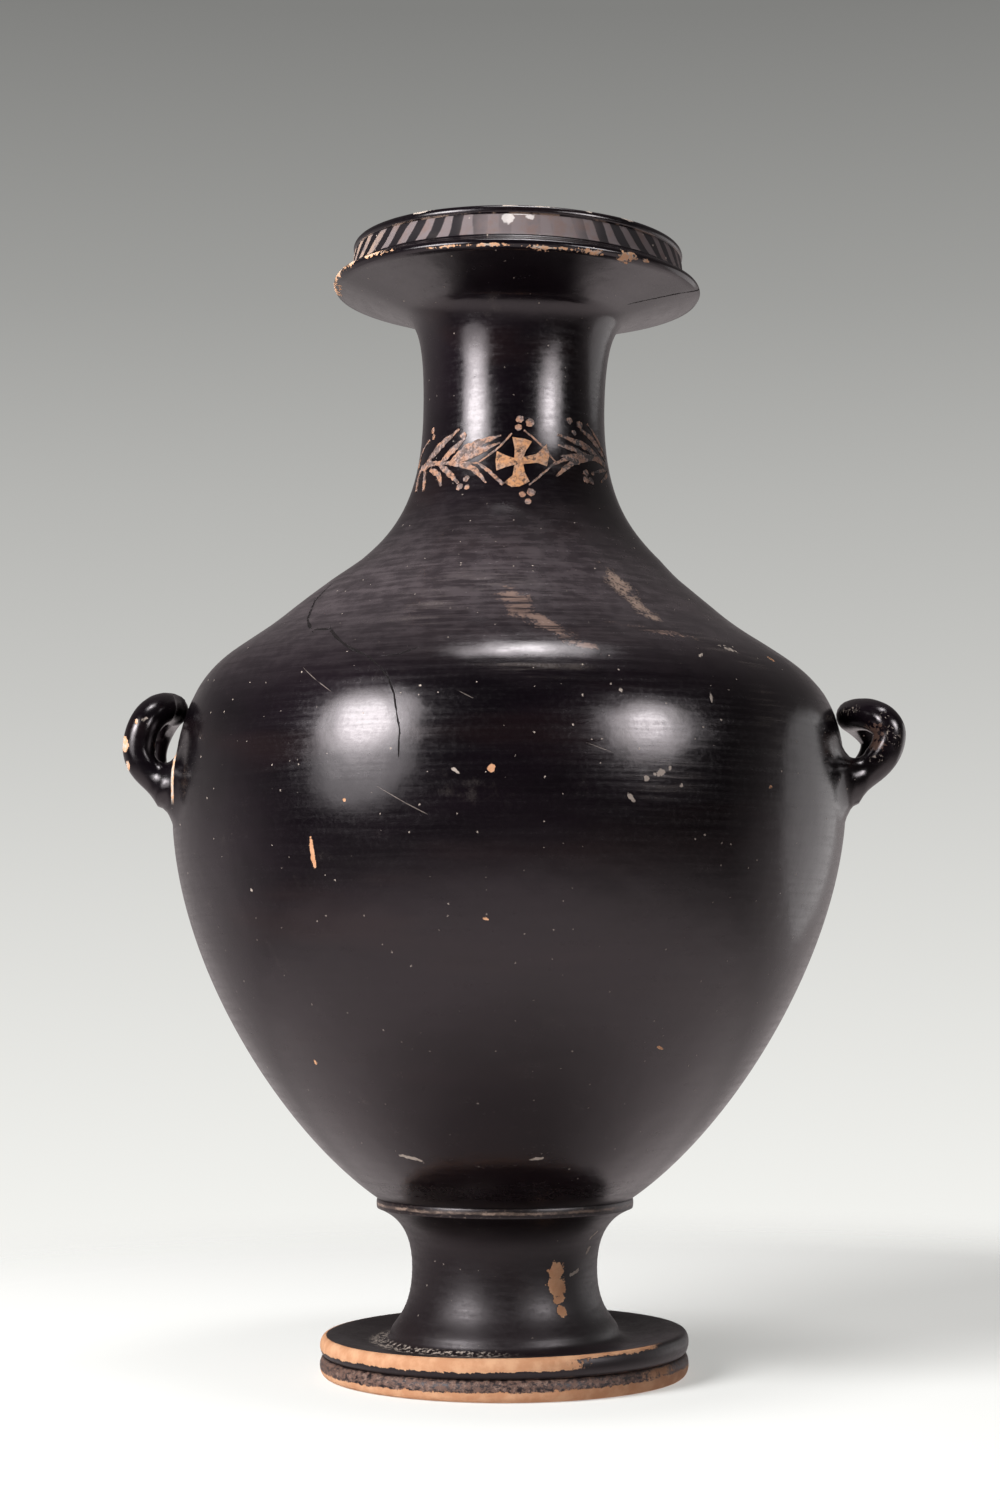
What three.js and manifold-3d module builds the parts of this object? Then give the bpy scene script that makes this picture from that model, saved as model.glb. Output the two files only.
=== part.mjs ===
// A black-glazed hydria: a water jar thrown on the wheel and fired as one piece, with two
// horizontal handles at the belly and one upright handle behind the neck.
// Millimetres, +Z up. The painted front faces -Y and the upright handle stands at +Y.

import * as THREE from "three";
import { mergeVertices } from "three/addons/utils/BufferGeometryUtils.js";
import Module from "manifold-3d";

// Foot: a disc of two rolls with a groove between them, hollow below
const FOOT_RADIUS = 74.1;
const FOOT_LOWER_ROLL_HEIGHT = 8.4;
const FOOT_UPPER_ROLL_HEIGHT = 8.1;
const FOOT_ROLL_DEPTH = 2.4;
const FOOT_DISH_DEPTH = 2.8;
const FOOT_TILT = 0.0134;
const REST_RING_WIDTH = 13;

// Stem and the collar bead where the body was set on it
const STEM_BASE_RADIUS = 46.4;
const STEM_WAIST_RADIUS = 37.35;
const STEM_WAIST_RISE = 25.5;
const STEM_FLARE_RISE = 24;
const STEM_WALL = 7.4;
const COLLAR_RADIUS = 51.5;
const COLLAR_HEIGHT = 4;
const COLLAR_BULGE = 1.1;

// Body: an egg shape with a high, broad shoulder
const BODY_RISE = 160;
const BODY_SPREAD = 1.46;
const BELLY_RADIUS = 136.9;
const SHOULDER_RISE = 75;
const SHOULDER_RADIUS = 89.8;
const SHOULDER_SLOPE = 1.17;
const WALL = 5.8;
const FLOOR_THICKNESS = 9;

// Neck
const NECK_RADIUS = 37.5;
const NECK_RISE = 87;
const NECK_UPPER_HEIGHT = 39.3;
const NECK_TOP_RADIUS = 47.2;

// Mouth: a thin spreading lip, an upright band above it and a dished top
const LIP_RADIUS = 76;
const LIP_RISE = 9.6;
const LIP_THICKNESS = 4;
const LIP_LEDGE_RISE = 1.9;
const BAND_RADIUS = 69.4;
const BAND_HEIGHT = 9.4;
const RIM_HEIGHT = 3.4;
const RIM_RADIUS = 68.2;
const RIM_GROOVE_DEPTH = 0.7;
const RIM_WIDTH = 4.8;
const MOUTH_TILT = -0.0258;

// Handles at the sides: loops that leave the wall outwards, then curl up and back to it
const HANDLE_THICKNESS = 12;
const HANDLE_SPAN = 50;
const HANDLE_ROOT_THICKNESS = 26;
const HANDLE_ROOT_LENGTH = 6;
const HANDLE_ROOT_DEPTH = 11;
const HANDLE_TURN = 2.3;
const LEFT_HANDLE = { root: 232, outer: 249, top: 267.8, reach: 14, curl: 9.8 };
const RIGHT_HANDLE = { root: 234, outer: 255, top: 265.3, reach: 18.2, curl: 11 };

// Handle behind the neck
const BACK_HANDLE_WIDTH = 20;
const BACK_HANDLE_THICKNESS = 13;
const BACK_HANDLE_REACH = 47;
const BACK_HANDLE_NECK_DROP = 31;
const BACK_HANDLE_ROOT_THICKNESS = 19;

// The clay leans a little: how far the axis stands to the right of the foot, at these heights
const LEAN = [
  [0, 0],
  [150, 0.8],
  [235, 2.1],
  [270, 2.3],
  [292, -0.4],
  [318, 0.2],
  [335, 3.1],
  [400, 4.2],
  [462, 5.9],
];

const SIDES = 44;
const HANDLE_SIDES = 10;
const HANDLE_STEPS = 18;
const CUT_MARGIN = 6;
const GLAZE = 0x1d1a1d;

const DISC_TOP = FOOT_LOWER_ROLL_HEIGHT + FOOT_UPPER_ROLL_HEIGHT;
const DISC_EDGE_RADIUS = FOOT_RADIUS - FOOT_ROLL_DEPTH;
const STEM_BASE = DISC_TOP - FOOT_DISH_DEPTH;
const STEM_WAIST = DISC_TOP + STEM_WAIST_RISE;
const COLLAR = STEM_WAIST + STEM_FLARE_RISE;
const BODY_BASE = COLLAR + COLLAR_HEIGHT;
const BELLY = BODY_BASE + BODY_RISE;
const SHOULDER = BELLY + SHOULDER_RISE;
const NECK = SHOULDER + NECK_RISE;
const NECK_TOP = NECK + NECK_UPPER_HEIGHT;
const LIP = NECK_TOP + LIP_RISE;
const LIP_TOP = LIP + LIP_THICKNESS;
const BAND = LIP_TOP + LIP_LEDGE_RISE;
const BAND_TOP = BAND + BAND_HEIGHT;
const RIM = BAND_TOP + RIM_HEIGHT;

const wasm = await Module();
wasm.setup();

const point = (r, z) => new THREE.Vector2(r, z);

// Points along a curved stretch from a to b, with its two handles given as steps from its ends
function stretch(a, leave, arrive, b, steps) {
  const curve = new THREE.CubicBezierCurve(a, a.clone().add(leave), b.clone().sub(arrive), b);
  return curve.getPoints(steps);
}

// A half-round moulding from height low to height high, standing out by depth
function roll(radius, low, high, depth, steps) {
  return Array.from({ length: steps + 1 }, (_, i) => {
    const a = Math.PI * (i / steps - 0.5);
    return point(radius + depth * Math.cos(a), (low + high + (high - low) * Math.sin(a)) / 2);
  });
}

// The same line moved by a distance towards the axis side, square to its own direction
function inset(line, distance) {
  return line.map((p, i) => {
    const along = line[Math.min(i + 1, line.length - 1)].clone().sub(line[Math.max(i - 1, 0)]);
    along.normalize();
    return point(p.x - along.y * distance, p.y + along.x * distance);
  });
}

// A direction that gains r for each unit of z, with the given length
const heading = (slope, length) => point(slope, 1).normalize().multiplyScalar(length);

const shoulderPoint = point(SHOULDER_RADIUS, SHOULDER);
const bellyPoint = point(BELLY_RADIUS, BELLY);
const neckPoint = point(NECK_RADIUS, NECK);

// The wall from the collar over belly and shoulder to the waist of the neck
function wallLine(bodySteps, shoulderSteps, neckSteps) {
  const body = stretch(
    point(COLLAR_RADIUS, BODY_BASE),
    heading(BODY_SPREAD, 0.305 * BODY_RISE),
    point(0, 0.382 * BODY_RISE),
    bellyPoint,
    bodySteps,
  );
  const shoulder = stretch(
    bellyPoint,
    point(0, 0.73 * SHOULDER_RISE),
    heading(-SHOULDER_SLOPE, 0.42 * SHOULDER_RISE),
    shoulderPoint,
    shoulderSteps,
  );
  const neck = stretch(
    shoulderPoint,
    heading(-SHOULDER_SLOPE, 0.474 * NECK_RISE),
    point(0, 0.596 * NECK_RISE),
    neckPoint,
    neckSteps,
  );
  return [...body, ...shoulder.slice(1), ...neck.slice(1)];
}

// The outside of the jar, from the middle of its base to the middle of its top
function outsideLine() {
  const foot = [
    ...roll(DISC_EDGE_RADIUS, 0, FOOT_LOWER_ROLL_HEIGHT, FOOT_ROLL_DEPTH, 4),
    ...roll(DISC_EDGE_RADIUS, FOOT_LOWER_ROLL_HEIGHT, DISC_TOP, FOOT_ROLL_DEPTH, 4).slice(1),
    point((DISC_EDGE_RADIUS + STEM_BASE_RADIUS) / 2, STEM_BASE + 0.1 * FOOT_DISH_DEPTH),
  ];
  const stem = [
    ...stretch(
      point(STEM_BASE_RADIUS, STEM_BASE),
      point(-0.5, 0.22 * STEM_WAIST_RISE),
      point(0, 0.78 * STEM_WAIST_RISE),
      point(STEM_WAIST_RADIUS, STEM_WAIST),
      4,
    ),
    ...stretch(
      point(STEM_WAIST_RADIUS, STEM_WAIST),
      point(0, 0.83 * STEM_FLARE_RISE),
      point(1.7, 1.3),
      point(COLLAR_RADIUS - 0.5, COLLAR),
      5,
    ).slice(1),
  ];
  const collar = roll(COLLAR_RADIUS, COLLAR, BODY_BASE, COLLAR_BULGE, 3).slice(1, -1);
  const neckTop = stretch(
    neckPoint,
    point(0, 0.76 * NECK_UPPER_HEIGHT),
    heading(2.5, 0.155 * NECK_UPPER_HEIGHT),
    point(NECK_TOP_RADIUS, NECK_TOP),
    4,
  );
  const lip = [
    point(LIP_RADIUS - 0.4, LIP),
    point(LIP_RADIUS, LIP + 0.35 * LIP_THICKNESS),
    point(LIP_RADIUS - 0.8, LIP + 0.8 * LIP_THICKNESS),
    point(LIP_RADIUS - 2.6, LIP_TOP),
  ];
  const band = [
    point(BAND_RADIUS + 0.3, BAND),
    point(BAND_RADIUS - 0.5, BAND + 0.25 * BAND_HEIGHT),
    point(RIM_RADIUS - 0.2, BAND_TOP - 0.1 * BAND_HEIGHT),
    point(RIM_RADIUS - RIM_GROOVE_DEPTH, BAND_TOP),
  ];
  const rim = [
    point(RIM_RADIUS, BAND_TOP + 0.25 * RIM_HEIGHT),
    point(RIM_RADIUS, BAND_TOP + 0.65 * RIM_HEIGHT),
    point(RIM_RADIUS - 1, RIM),
    point(RIM_RADIUS - RIM_WIDTH + 1, RIM),
  ];
  return [
    point(0, 0),
    ...foot,
    ...stem,
    ...collar,
    ...wallLine(10, 8, 6),
    ...neckTop.slice(1),
    ...lip,
    ...band,
    ...rim,
    point(0, RIM),
  ];
}

// The space inside the jar, from its floor to above the open mouth
function insideLine() {
  const wall = inset(wallLine(6, 5, 5), WALL).filter((p) => p.y > BODY_BASE + FLOOR_THICKNESS);
  const rimInside = RIM_RADIUS - RIM_WIDTH;
  const dish = stretch(
    point(NECK_RADIUS - WALL + 1.5, NECK + 0.7 * NECK_UPPER_HEIGHT),
    point(1.5, 0.35 * NECK_UPPER_HEIGHT),
    point(2, BAND_HEIGHT),
    point(rimInside - 1, BAND_TOP),
    6,
  );
  return [
    point(0, HOLLOW_TOP + FLOOR_THICKNESS),
    point(0.55 * COLLAR_RADIUS, HOLLOW_TOP + FLOOR_THICKNESS),
    ...wall,
    ...dish,
    point(rimInside, RIM),
    point(rimInside, RIM + CUT_MARGIN),
    point(0, RIM + CUT_MARGIN),
  ];
}

const HOLLOW_TOP = COLLAR - 0.5;

// The hollow under the foot, which rises inside the stem to a dome
function hollowLine() {
  const bore = STEM_WAIST_RADIUS - STEM_WALL;
  const mouth = DISC_EDGE_RADIUS - REST_RING_WIDTH;
  return [
    point(0, -CUT_MARGIN),
    point(mouth, -CUT_MARGIN),
    ...stretch(
      point(mouth, 0),
      point(-0.3 * (mouth - bore), 0.1 * STEM_WAIST),
      point(0, 0.6 * STEM_WAIST),
      point(bore, STEM_WAIST),
      5,
    ),
    point(bore, HOLLOW_TOP - 0.3 * bore),
    point(0.7 * bore, HOLLOW_TOP - 0.07 * bore),
    point(0, HOLLOW_TOP),
  ];
}

const leanCurve = new THREE.SplineCurve(LEAN.map(([z, x]) => point(z, x)));

// How far the axis stands to the right at height z
function leanAt(z) {
  const last = LEAN.length - 1;
  const i = Math.max(0, LEAN.findLastIndex(([height]) => height <= z));
  if (i >= last) return LEAN[last][1];
  const share = THREE.MathUtils.clamp((z - LEAN[i][0]) / (LEAN[i + 1][0] - LEAN[i][0]), 0, 1);
  return leanCurve.getPoint((i + share) / last).y;
}

// How much the level rises for each millimetre to the right, at height z
function tiltAt(z) {
  const foot = THREE.MathUtils.smoothstep(z, 0, DISC_TOP);
  const stem = THREE.MathUtils.smoothstep(z, DISC_TOP, STEM_WAIST);
  return FOOT_TILT * (foot - stem) + MOUTH_TILT * THREE.MathUtils.smoothstep(z, NECK, LIP);
}

// A closed geometry as a solid, with its shared vertices merged
function solid(geometry) {
  geometry.deleteAttribute("normal");
  geometry.deleteAttribute("uv");
  const merged = mergeVertices(geometry, 1e-4);
  const index = merged.index.array;
  const kept = [];
  for (let i = 0; i < index.length; i += 3) {
    const [a, b, c] = index.slice(i, i + 3);
    if (a !== b && b !== c && c !== a) kept.push(a, b, c);
  }
  const mesh = new wasm.Mesh({
    numProp: 3,
    vertProperties: merged.attributes.position.array,
    triVerts: new Uint32Array(kept),
  });
  return new wasm.Manifold(mesh);
}

// A profile turned round the axis, then leaned and tilted as the fired clay is
function turned(line) {
  const geometry = new THREE.LatheGeometry(line, SIDES);
  geometry.rotateX(Math.PI / 2);
  const position = geometry.attributes.position;
  for (let i = 0; i < position.count; i += 1) {
    const x = position.getX(i);
    const z = position.getZ(i);
    position.setX(i, x + leanAt(z));
    position.setZ(i, z + tiltAt(z) * x);
  }
  return solid(geometry);
}

// A rod along a curve, with closed ends. size(u) gives its half width and half thickness
function rod(curve, size) {
  const frames = curve.computeFrenetFrames(HANDLE_STEPS, false);
  const vertices = [];
  const index = [];
  for (let i = 0; i <= HANDLE_STEPS; i += 1) {
    const centre = curve.getPointAt(i / HANDLE_STEPS);
    const [halfWidth, halfThickness] = size(i / HANDLE_STEPS);
    for (let j = 0; j < HANDLE_SIDES; j += 1) {
      const a = (2 * Math.PI * j) / HANDLE_SIDES;
      const p = centre.clone().addScaledVector(frames.normals[i], halfWidth * Math.cos(a));
      p.addScaledVector(frames.binormals[i], halfThickness * Math.sin(a));
      vertices.push(p.x, p.y, p.z);
    }
  }
  const ring = (i, j) => i * HANDLE_SIDES + (j % HANDLE_SIDES);
  for (let i = 0; i < HANDLE_STEPS; i += 1) {
    for (let j = 0; j < HANDLE_SIDES; j += 1) {
      index.push(ring(i, j), ring(i, j + 1), ring(i + 1, j));
      index.push(ring(i, j + 1), ring(i + 1, j + 1), ring(i + 1, j));
    }
  }
  for (let j = 1; j < HANDLE_SIDES - 1; j += 1) {
    index.push(ring(0, 0), ring(0, j + 1), ring(0, j));
    index.push(ring(HANDLE_STEPS, 0), ring(HANDLE_STEPS, j), ring(HANDLE_STEPS, j + 1));
  }
  const geometry = new THREE.BufferGeometry();
  geometry.setAttribute("position", new THREE.Float32BufferAttribute(vertices, 3));
  geometry.setIndex(index);
  return solid(geometry);
}

// The thickening of a handle towards a root, from 1 at the root to 0 along the rod
const rooting = (distance) => Math.exp(-((Math.max(0, distance) / HANDLE_ROOT_LENGTH) ** 2));

// The radius of the outside at height z between the collar and the waist of the neck
function radiusAt(z) {
  const line = wallLine(30, 30, 30);
  const i = line.findIndex((p) => p.y >= z);
  const [a, b] = [line[i - 1], line[i]];
  return a.x + ((b.x - a.x) * (z - a.y)) / (b.y - a.y);
}

// The middle line of a side handle: s runs from one root at -1 over the top at 0 to the other at 1
class SideHandleCurve extends THREE.Curve {
  constructor(shape, side) {
    super();
    this.shape = shape;
    this.side = side;
    this.wall = radiusAt(shape.outer);
    const outer = point(shape.reach, shape.outer);
    this.lower = new THREE.CubicBezierCurve(
      point(-HANDLE_ROOT_DEPTH, shape.root),
      point(0.5 * shape.reach, shape.root),
      point(shape.reach, shape.outer - 0.45 * (shape.outer - shape.root)),
      outer,
    );
    this.upper = new THREE.CubicBezierCurve(
      outer,
      point(shape.reach, shape.outer + 0.45 * (shape.top - shape.outer)),
      point(shape.reach - 0.5 * shape.curl, shape.top),
      point(shape.reach - shape.curl, shape.top),
    );
  }

  getPoint(t) {
    const s = 2 * t - 1;
    const reached = Math.abs(s);
    const share = reached ** 1.35;
    const hook = share > 0.45 ? this.lower.getPoint((1 - share) / 0.55) : this.upper.getPoint(1 - share / 0.45);
    const depth = Math.sign(s) * Math.sin((Math.PI / 2) * Math.min(1, reached / 0.45));
    const turn = this.side * THREE.MathUtils.degToRad(HANDLE_TURN);
    const place = new THREE.Vector3(this.side * (this.wall + hook.x), (HANDLE_SPAN / 2) * depth, hook.y);
    place.applyAxisAngle(new THREE.Vector3(0, 0, 1), -this.side * turn);
    place.x += leanAt(this.shape.outer);
    return place;
  }
}

function sideHandle(shape, side) {
  const curve = new SideHandleCurve(shape, side);
  const length = curve.getLength();
  return rod(curve, (u) => {
    const swell = rooting(length * Math.min(u, 1 - u) - HANDLE_ROOT_DEPTH + 0.5 * WALL);
    const half = (HANDLE_THICKNESS + (HANDLE_ROOT_THICKNESS - HANDLE_THICKNESS) * swell) / 2;
    return [half, half];
  });
}

// The handle behind the neck, from under the lip down to the shoulder
function backHandle() {
  const neckRoot = NECK_TOP - BACK_HANDLE_NECK_DROP;
  const reach = NECK_RADIUS + BACK_HANDLE_REACH;
  const shoulderRoot = SHOULDER + 0.1 * NECK_RISE;
  const lean = leanAt(neckRoot);
  const at = (r, z) => new THREE.Vector3(lean, r, z);
  const curve = new THREE.CatmullRomCurve3([
    at(NECK_RADIUS - 0.8 * WALL, neckRoot),
    at(NECK_RADIUS + 0.5 * BACK_HANDLE_REACH, neckRoot - 1),
    at(reach - 4, neckRoot - 0.22 * (neckRoot - shoulderRoot)),
    at(reach, neckRoot - 0.55 * (neckRoot - shoulderRoot)),
    at(reach - 1, shoulderRoot),
    at(reach - 3, SHOULDER - 0.08 * NECK_RISE),
  ]);
  const length = curve.getLength();
  return rod(curve, (u) => {
    const swell = rooting(length * Math.min(u, 1 - u));
    const growth = 1 + (BACK_HANDLE_ROOT_THICKNESS / BACK_HANDLE_THICKNESS - 1) * swell;
    return [(BACK_HANDLE_WIDTH / 2) * growth, (BACK_HANDLE_THICKNESS / 2) * growth];
  });
}

// The geometry of a finished solid
function geometryOf(made) {
  const mesh = made.getMesh();
  const geometry = new THREE.BufferGeometry();
  geometry.setAttribute("position", new THREE.BufferAttribute(mesh.vertProperties, 3));
  geometry.setIndex(new THREE.BufferAttribute(mesh.triVerts, 1));
  geometry.computeVertexNormals();
  return geometry;
}

const vessel = turned(outsideLine())
  .add(sideHandle(LEFT_HANDLE, -1))
  .add(sideHandle(RIGHT_HANDLE, 1))
  .add(backHandle())
  .subtract(turned(insideLine()))
  .subtract(turned(hollowLine()));

const hydria = new THREE.Mesh(
  geometryOf(vessel),
  new THREE.MeshStandardMaterial({ color: GLAZE, roughness: 0.3, metalness: 0 }),
);
hydria.name = "hydria";
hydria.geometry.computeBoundingBox();
const middle = hydria.geometry.boundingBox.getCenter(new THREE.Vector3());
hydria.geometry.translate(-middle.x, -middle.y, 0);

const jar = new THREE.Group();
jar.add(hydria);

export default jar;
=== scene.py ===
"""A black-glazed hydria with worn edges: one fired piece with foot, handles and dished mouth."""

import logging
import math
import random
from collections.abc import Callable, Iterable
from dataclasses import dataclass, field
from enum import Enum

import bpy
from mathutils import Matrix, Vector
from mathutils.kdtree import KDTree


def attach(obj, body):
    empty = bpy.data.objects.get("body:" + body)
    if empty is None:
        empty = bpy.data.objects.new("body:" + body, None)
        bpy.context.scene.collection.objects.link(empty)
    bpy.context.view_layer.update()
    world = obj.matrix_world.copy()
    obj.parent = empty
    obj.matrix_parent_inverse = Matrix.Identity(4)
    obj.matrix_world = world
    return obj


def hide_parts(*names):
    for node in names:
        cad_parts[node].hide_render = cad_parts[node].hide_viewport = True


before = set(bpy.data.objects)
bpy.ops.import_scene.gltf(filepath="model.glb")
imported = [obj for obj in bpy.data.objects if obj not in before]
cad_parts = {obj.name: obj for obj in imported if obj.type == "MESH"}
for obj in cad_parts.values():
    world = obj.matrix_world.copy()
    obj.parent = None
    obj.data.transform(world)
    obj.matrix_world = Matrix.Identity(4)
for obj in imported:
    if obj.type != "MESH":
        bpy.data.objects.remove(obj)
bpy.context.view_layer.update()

LOG = logging.getLogger("hydria")
MM = 0.001
BODY = "root"
NODE = "hydria"

Colour = tuple[float, float, float]
Pair = tuple[float, float]
Place = tuple[float, float, float]
FrontMark = tuple[float, float, float, float]
RingMark = tuple[float, float, float, float]


class Zone(Enum):
    """A part of the jar's surface with its own wear, between two heights in millimetres.

    The handles and the inside are told by how far they lie off the wall. Their heights are above
    the jar, so that no patch of the outside meets them.
    """

    FOOT = (-1.0, 20.0)
    STEM = (20.0, 74.0)
    BODY = (74.0, 236.0)
    SHOULDER = (236.0, 322.0)
    NECK = (322.0, 436.0)
    MOUTH = (436.0, 470.0)
    HANDLE = (470.0, 471.0)
    INSIDE = (471.0, 472.0)

    def meets(self, height: float, reach: float) -> bool:
        """Tells whether a patch at a height, with this reach, touches the zone."""
        return self.value[0] < height + reach and height - reach < self.value[1]


# ---------------------------------------------------------------- plane curves


def heading(slope: float, length: float) -> Pair:
    """Returns a step of the given length that gains `slope` in radius for each unit of height."""
    norm = math.hypot(slope, 1.0)
    return slope / norm * length, length / norm


def bezier(handles: tuple[Pair, ...], t: float) -> Pair:
    """Returns the point at share t of a cubic curve given by its four handles."""
    weights = ((1 - t) ** 3, 3 * t * (1 - t) ** 2, 3 * t * t * (1 - t), t**3)
    return (
        sum(w * h[0] for w, h in zip(weights, handles)),
        sum(w * h[1] for w, h in zip(weights, handles)),
    )


def stretch(start: Pair, leave: Pair, arrive: Pair, end: Pair, steps: int) -> list[Pair]:
    """Samples a cubic curve between two profile points.

    Args:
        start: First point, as radius and height.
        leave: Step from the first point to its handle.
        arrive: Step from the last point's handle to the last point.
        end: Last point.
        steps: Number of equal steps along the curve.

    Returns:
        The points, both ends included.
    """
    after = (start[0] + leave[0], start[1] + leave[1])
    before = (end[0] - arrive[0], end[1] - arrive[1])
    return [bezier((start, after, before, end), index / steps) for index in range(steps + 1)]


def roll(radius: float, low: float, high: float, depth: float, steps: int) -> list[Pair]:
    """Samples a half-round moulding.

    Args:
        radius: Radius at the moulding's two edges.
        low: Height of its lower edge.
        high: Height of its upper edge.
        depth: How far its middle stands out.
        steps: Number of steps round the half circle.

    Returns:
        The points from the lower edge to the upper one.
    """
    turns = [math.pi * (index / steps - 0.5) for index in range(steps + 1)]
    return [
        (radius + depth * math.cos(a), (low + high + (high - low) * math.sin(a)) / 2) for a in turns
    ]


def inset(line: list[Pair], distance: float) -> list[Pair]:
    """Returns the line moved towards the axis by a distance, square to its own direction."""
    moved = []
    for index, (radius, height) in enumerate(line):
        after = line[min(index + 1, len(line) - 1)]
        before = line[max(index - 1, 0)]
        across, up = after[0] - before[0], after[1] - before[1]
        norm = math.hypot(across, up)
        moved.append((radius - up / norm * distance, height + across / norm * distance))
    return moved


def smooth_run(points: list[Pair], steps: int) -> list[Pair]:
    """Returns a smooth run of points through the given ones, with `steps` on each stretch."""
    run = [points[0]]
    for index in range(len(points) - 1):
        a = points[max(index - 1, 0)]
        b, c = points[index], points[index + 1]
        d = points[min(index + 2, len(points) - 1)]
        for step in range(1, steps + 1):
            t = step / steps
            run.append(
                tuple(
                    0.5
                    * (
                        2 * q
                        + (r - p) * t
                        + (2 * p - 5 * q + 4 * r - s) * t * t
                        + (3 * q - p - 3 * r + s) * t**3
                    )
                    for p, q, r, s in zip(a, b, c, d)
                )
            )
    return run


def eased(value: float, low: float, high: float) -> float:
    """Returns 0 below low, 1 above high and a smooth change between them."""
    share = min(1.0, max(0.0, (value - low) / (high - low)))
    return share * share * (3 - 2 * share)


# ------------------------------------------------------------- mesh operations


def deselect() -> None:
    """Leaves edit mode and clears the selection."""
    if bpy.context.object and bpy.context.object.mode != "OBJECT":
        bpy.ops.object.mode_set(mode="OBJECT")
    bpy.ops.object.select_all(action="DESELECT")


def pick(*objects: bpy.types.Object) -> None:
    """Selects only these objects, with the last one active."""
    deselect()
    for item in objects:
        item.select_set(True)
    bpy.context.view_layer.objects.active = objects[-1]


def named(name: str) -> bpy.types.Object:
    """Names the active object and its data, and returns it."""
    made = bpy.context.object
    made.name = made.data.name = name
    return made


def apply_modifier(piece: bpy.types.Object, kind: str, **settings: object) -> None:
    """Adds one modifier to a piece with these settings and applies it."""
    pick(piece)
    bpy.ops.object.modifier_add(type=kind)
    modifier = piece.modifiers[-1]
    for key, value in settings.items():
        setattr(modifier, key, value)
    bpy.ops.object.modifier_apply(modifier=modifier.name)


def settle_normals(piece: bpy.types.Object, merge: float) -> None:
    """Merges points closer than a distance in millimetres and turns all faces outward."""
    pick(piece)
    bpy.ops.object.mode_set(mode="EDIT")
    bpy.ops.mesh.select_all(action="SELECT")
    bpy.ops.mesh.remove_doubles(threshold=merge * MM)
    bpy.ops.mesh.normals_make_consistent(inside=False)
    bpy.ops.object.mode_set(mode="OBJECT")


def spun(name: str, line: Iterable[Pair], steps: int) -> bpy.types.Object:
    """Turns a profile round the Z axis into a closed mesh.

    The line is drawn from one point by extruding it step after step, then spun.

    Args:
        name: Name of the new piece.
        line: Profile in millimetres as radius and height, from axis to axis.
        steps: Number of sides.

    Returns:
        The new piece.
    """
    points = [Vector((radius * MM, 0, height * MM)) for radius, height in line]
    deselect()
    bpy.ops.mesh.primitive_plane_add(size=MM, location=(0, 0, 0))
    made = named(name)
    bpy.ops.object.mode_set(mode="EDIT")
    bpy.ops.mesh.select_all(action="SELECT")
    bpy.ops.mesh.merge(type="CENTER")
    bpy.ops.transform.translate(value=points[0])
    for before, after in zip(points, points[1:]):
        bpy.ops.mesh.extrude_vertices_move(TRANSFORM_OT_translate={"value": after - before})
    bpy.ops.mesh.select_all(action="SELECT")
    bpy.ops.mesh.spin(steps=steps, angle=2 * math.pi, center=(0, 0, 0), axis=(0, 0, 1))
    bpy.ops.object.mode_set(mode="OBJECT")
    settle_normals(made, 0.004)
    return made


def shade(piece: bpy.types.Object, degrees: float) -> None:
    """Shades a piece smooth, with edges sharper than an angle kept crisp."""
    pick(piece)
    bpy.ops.object.shade_smooth_by_angle(angle=math.radians(degrees))


# ------------------------------------------------------------------- materials


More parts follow.
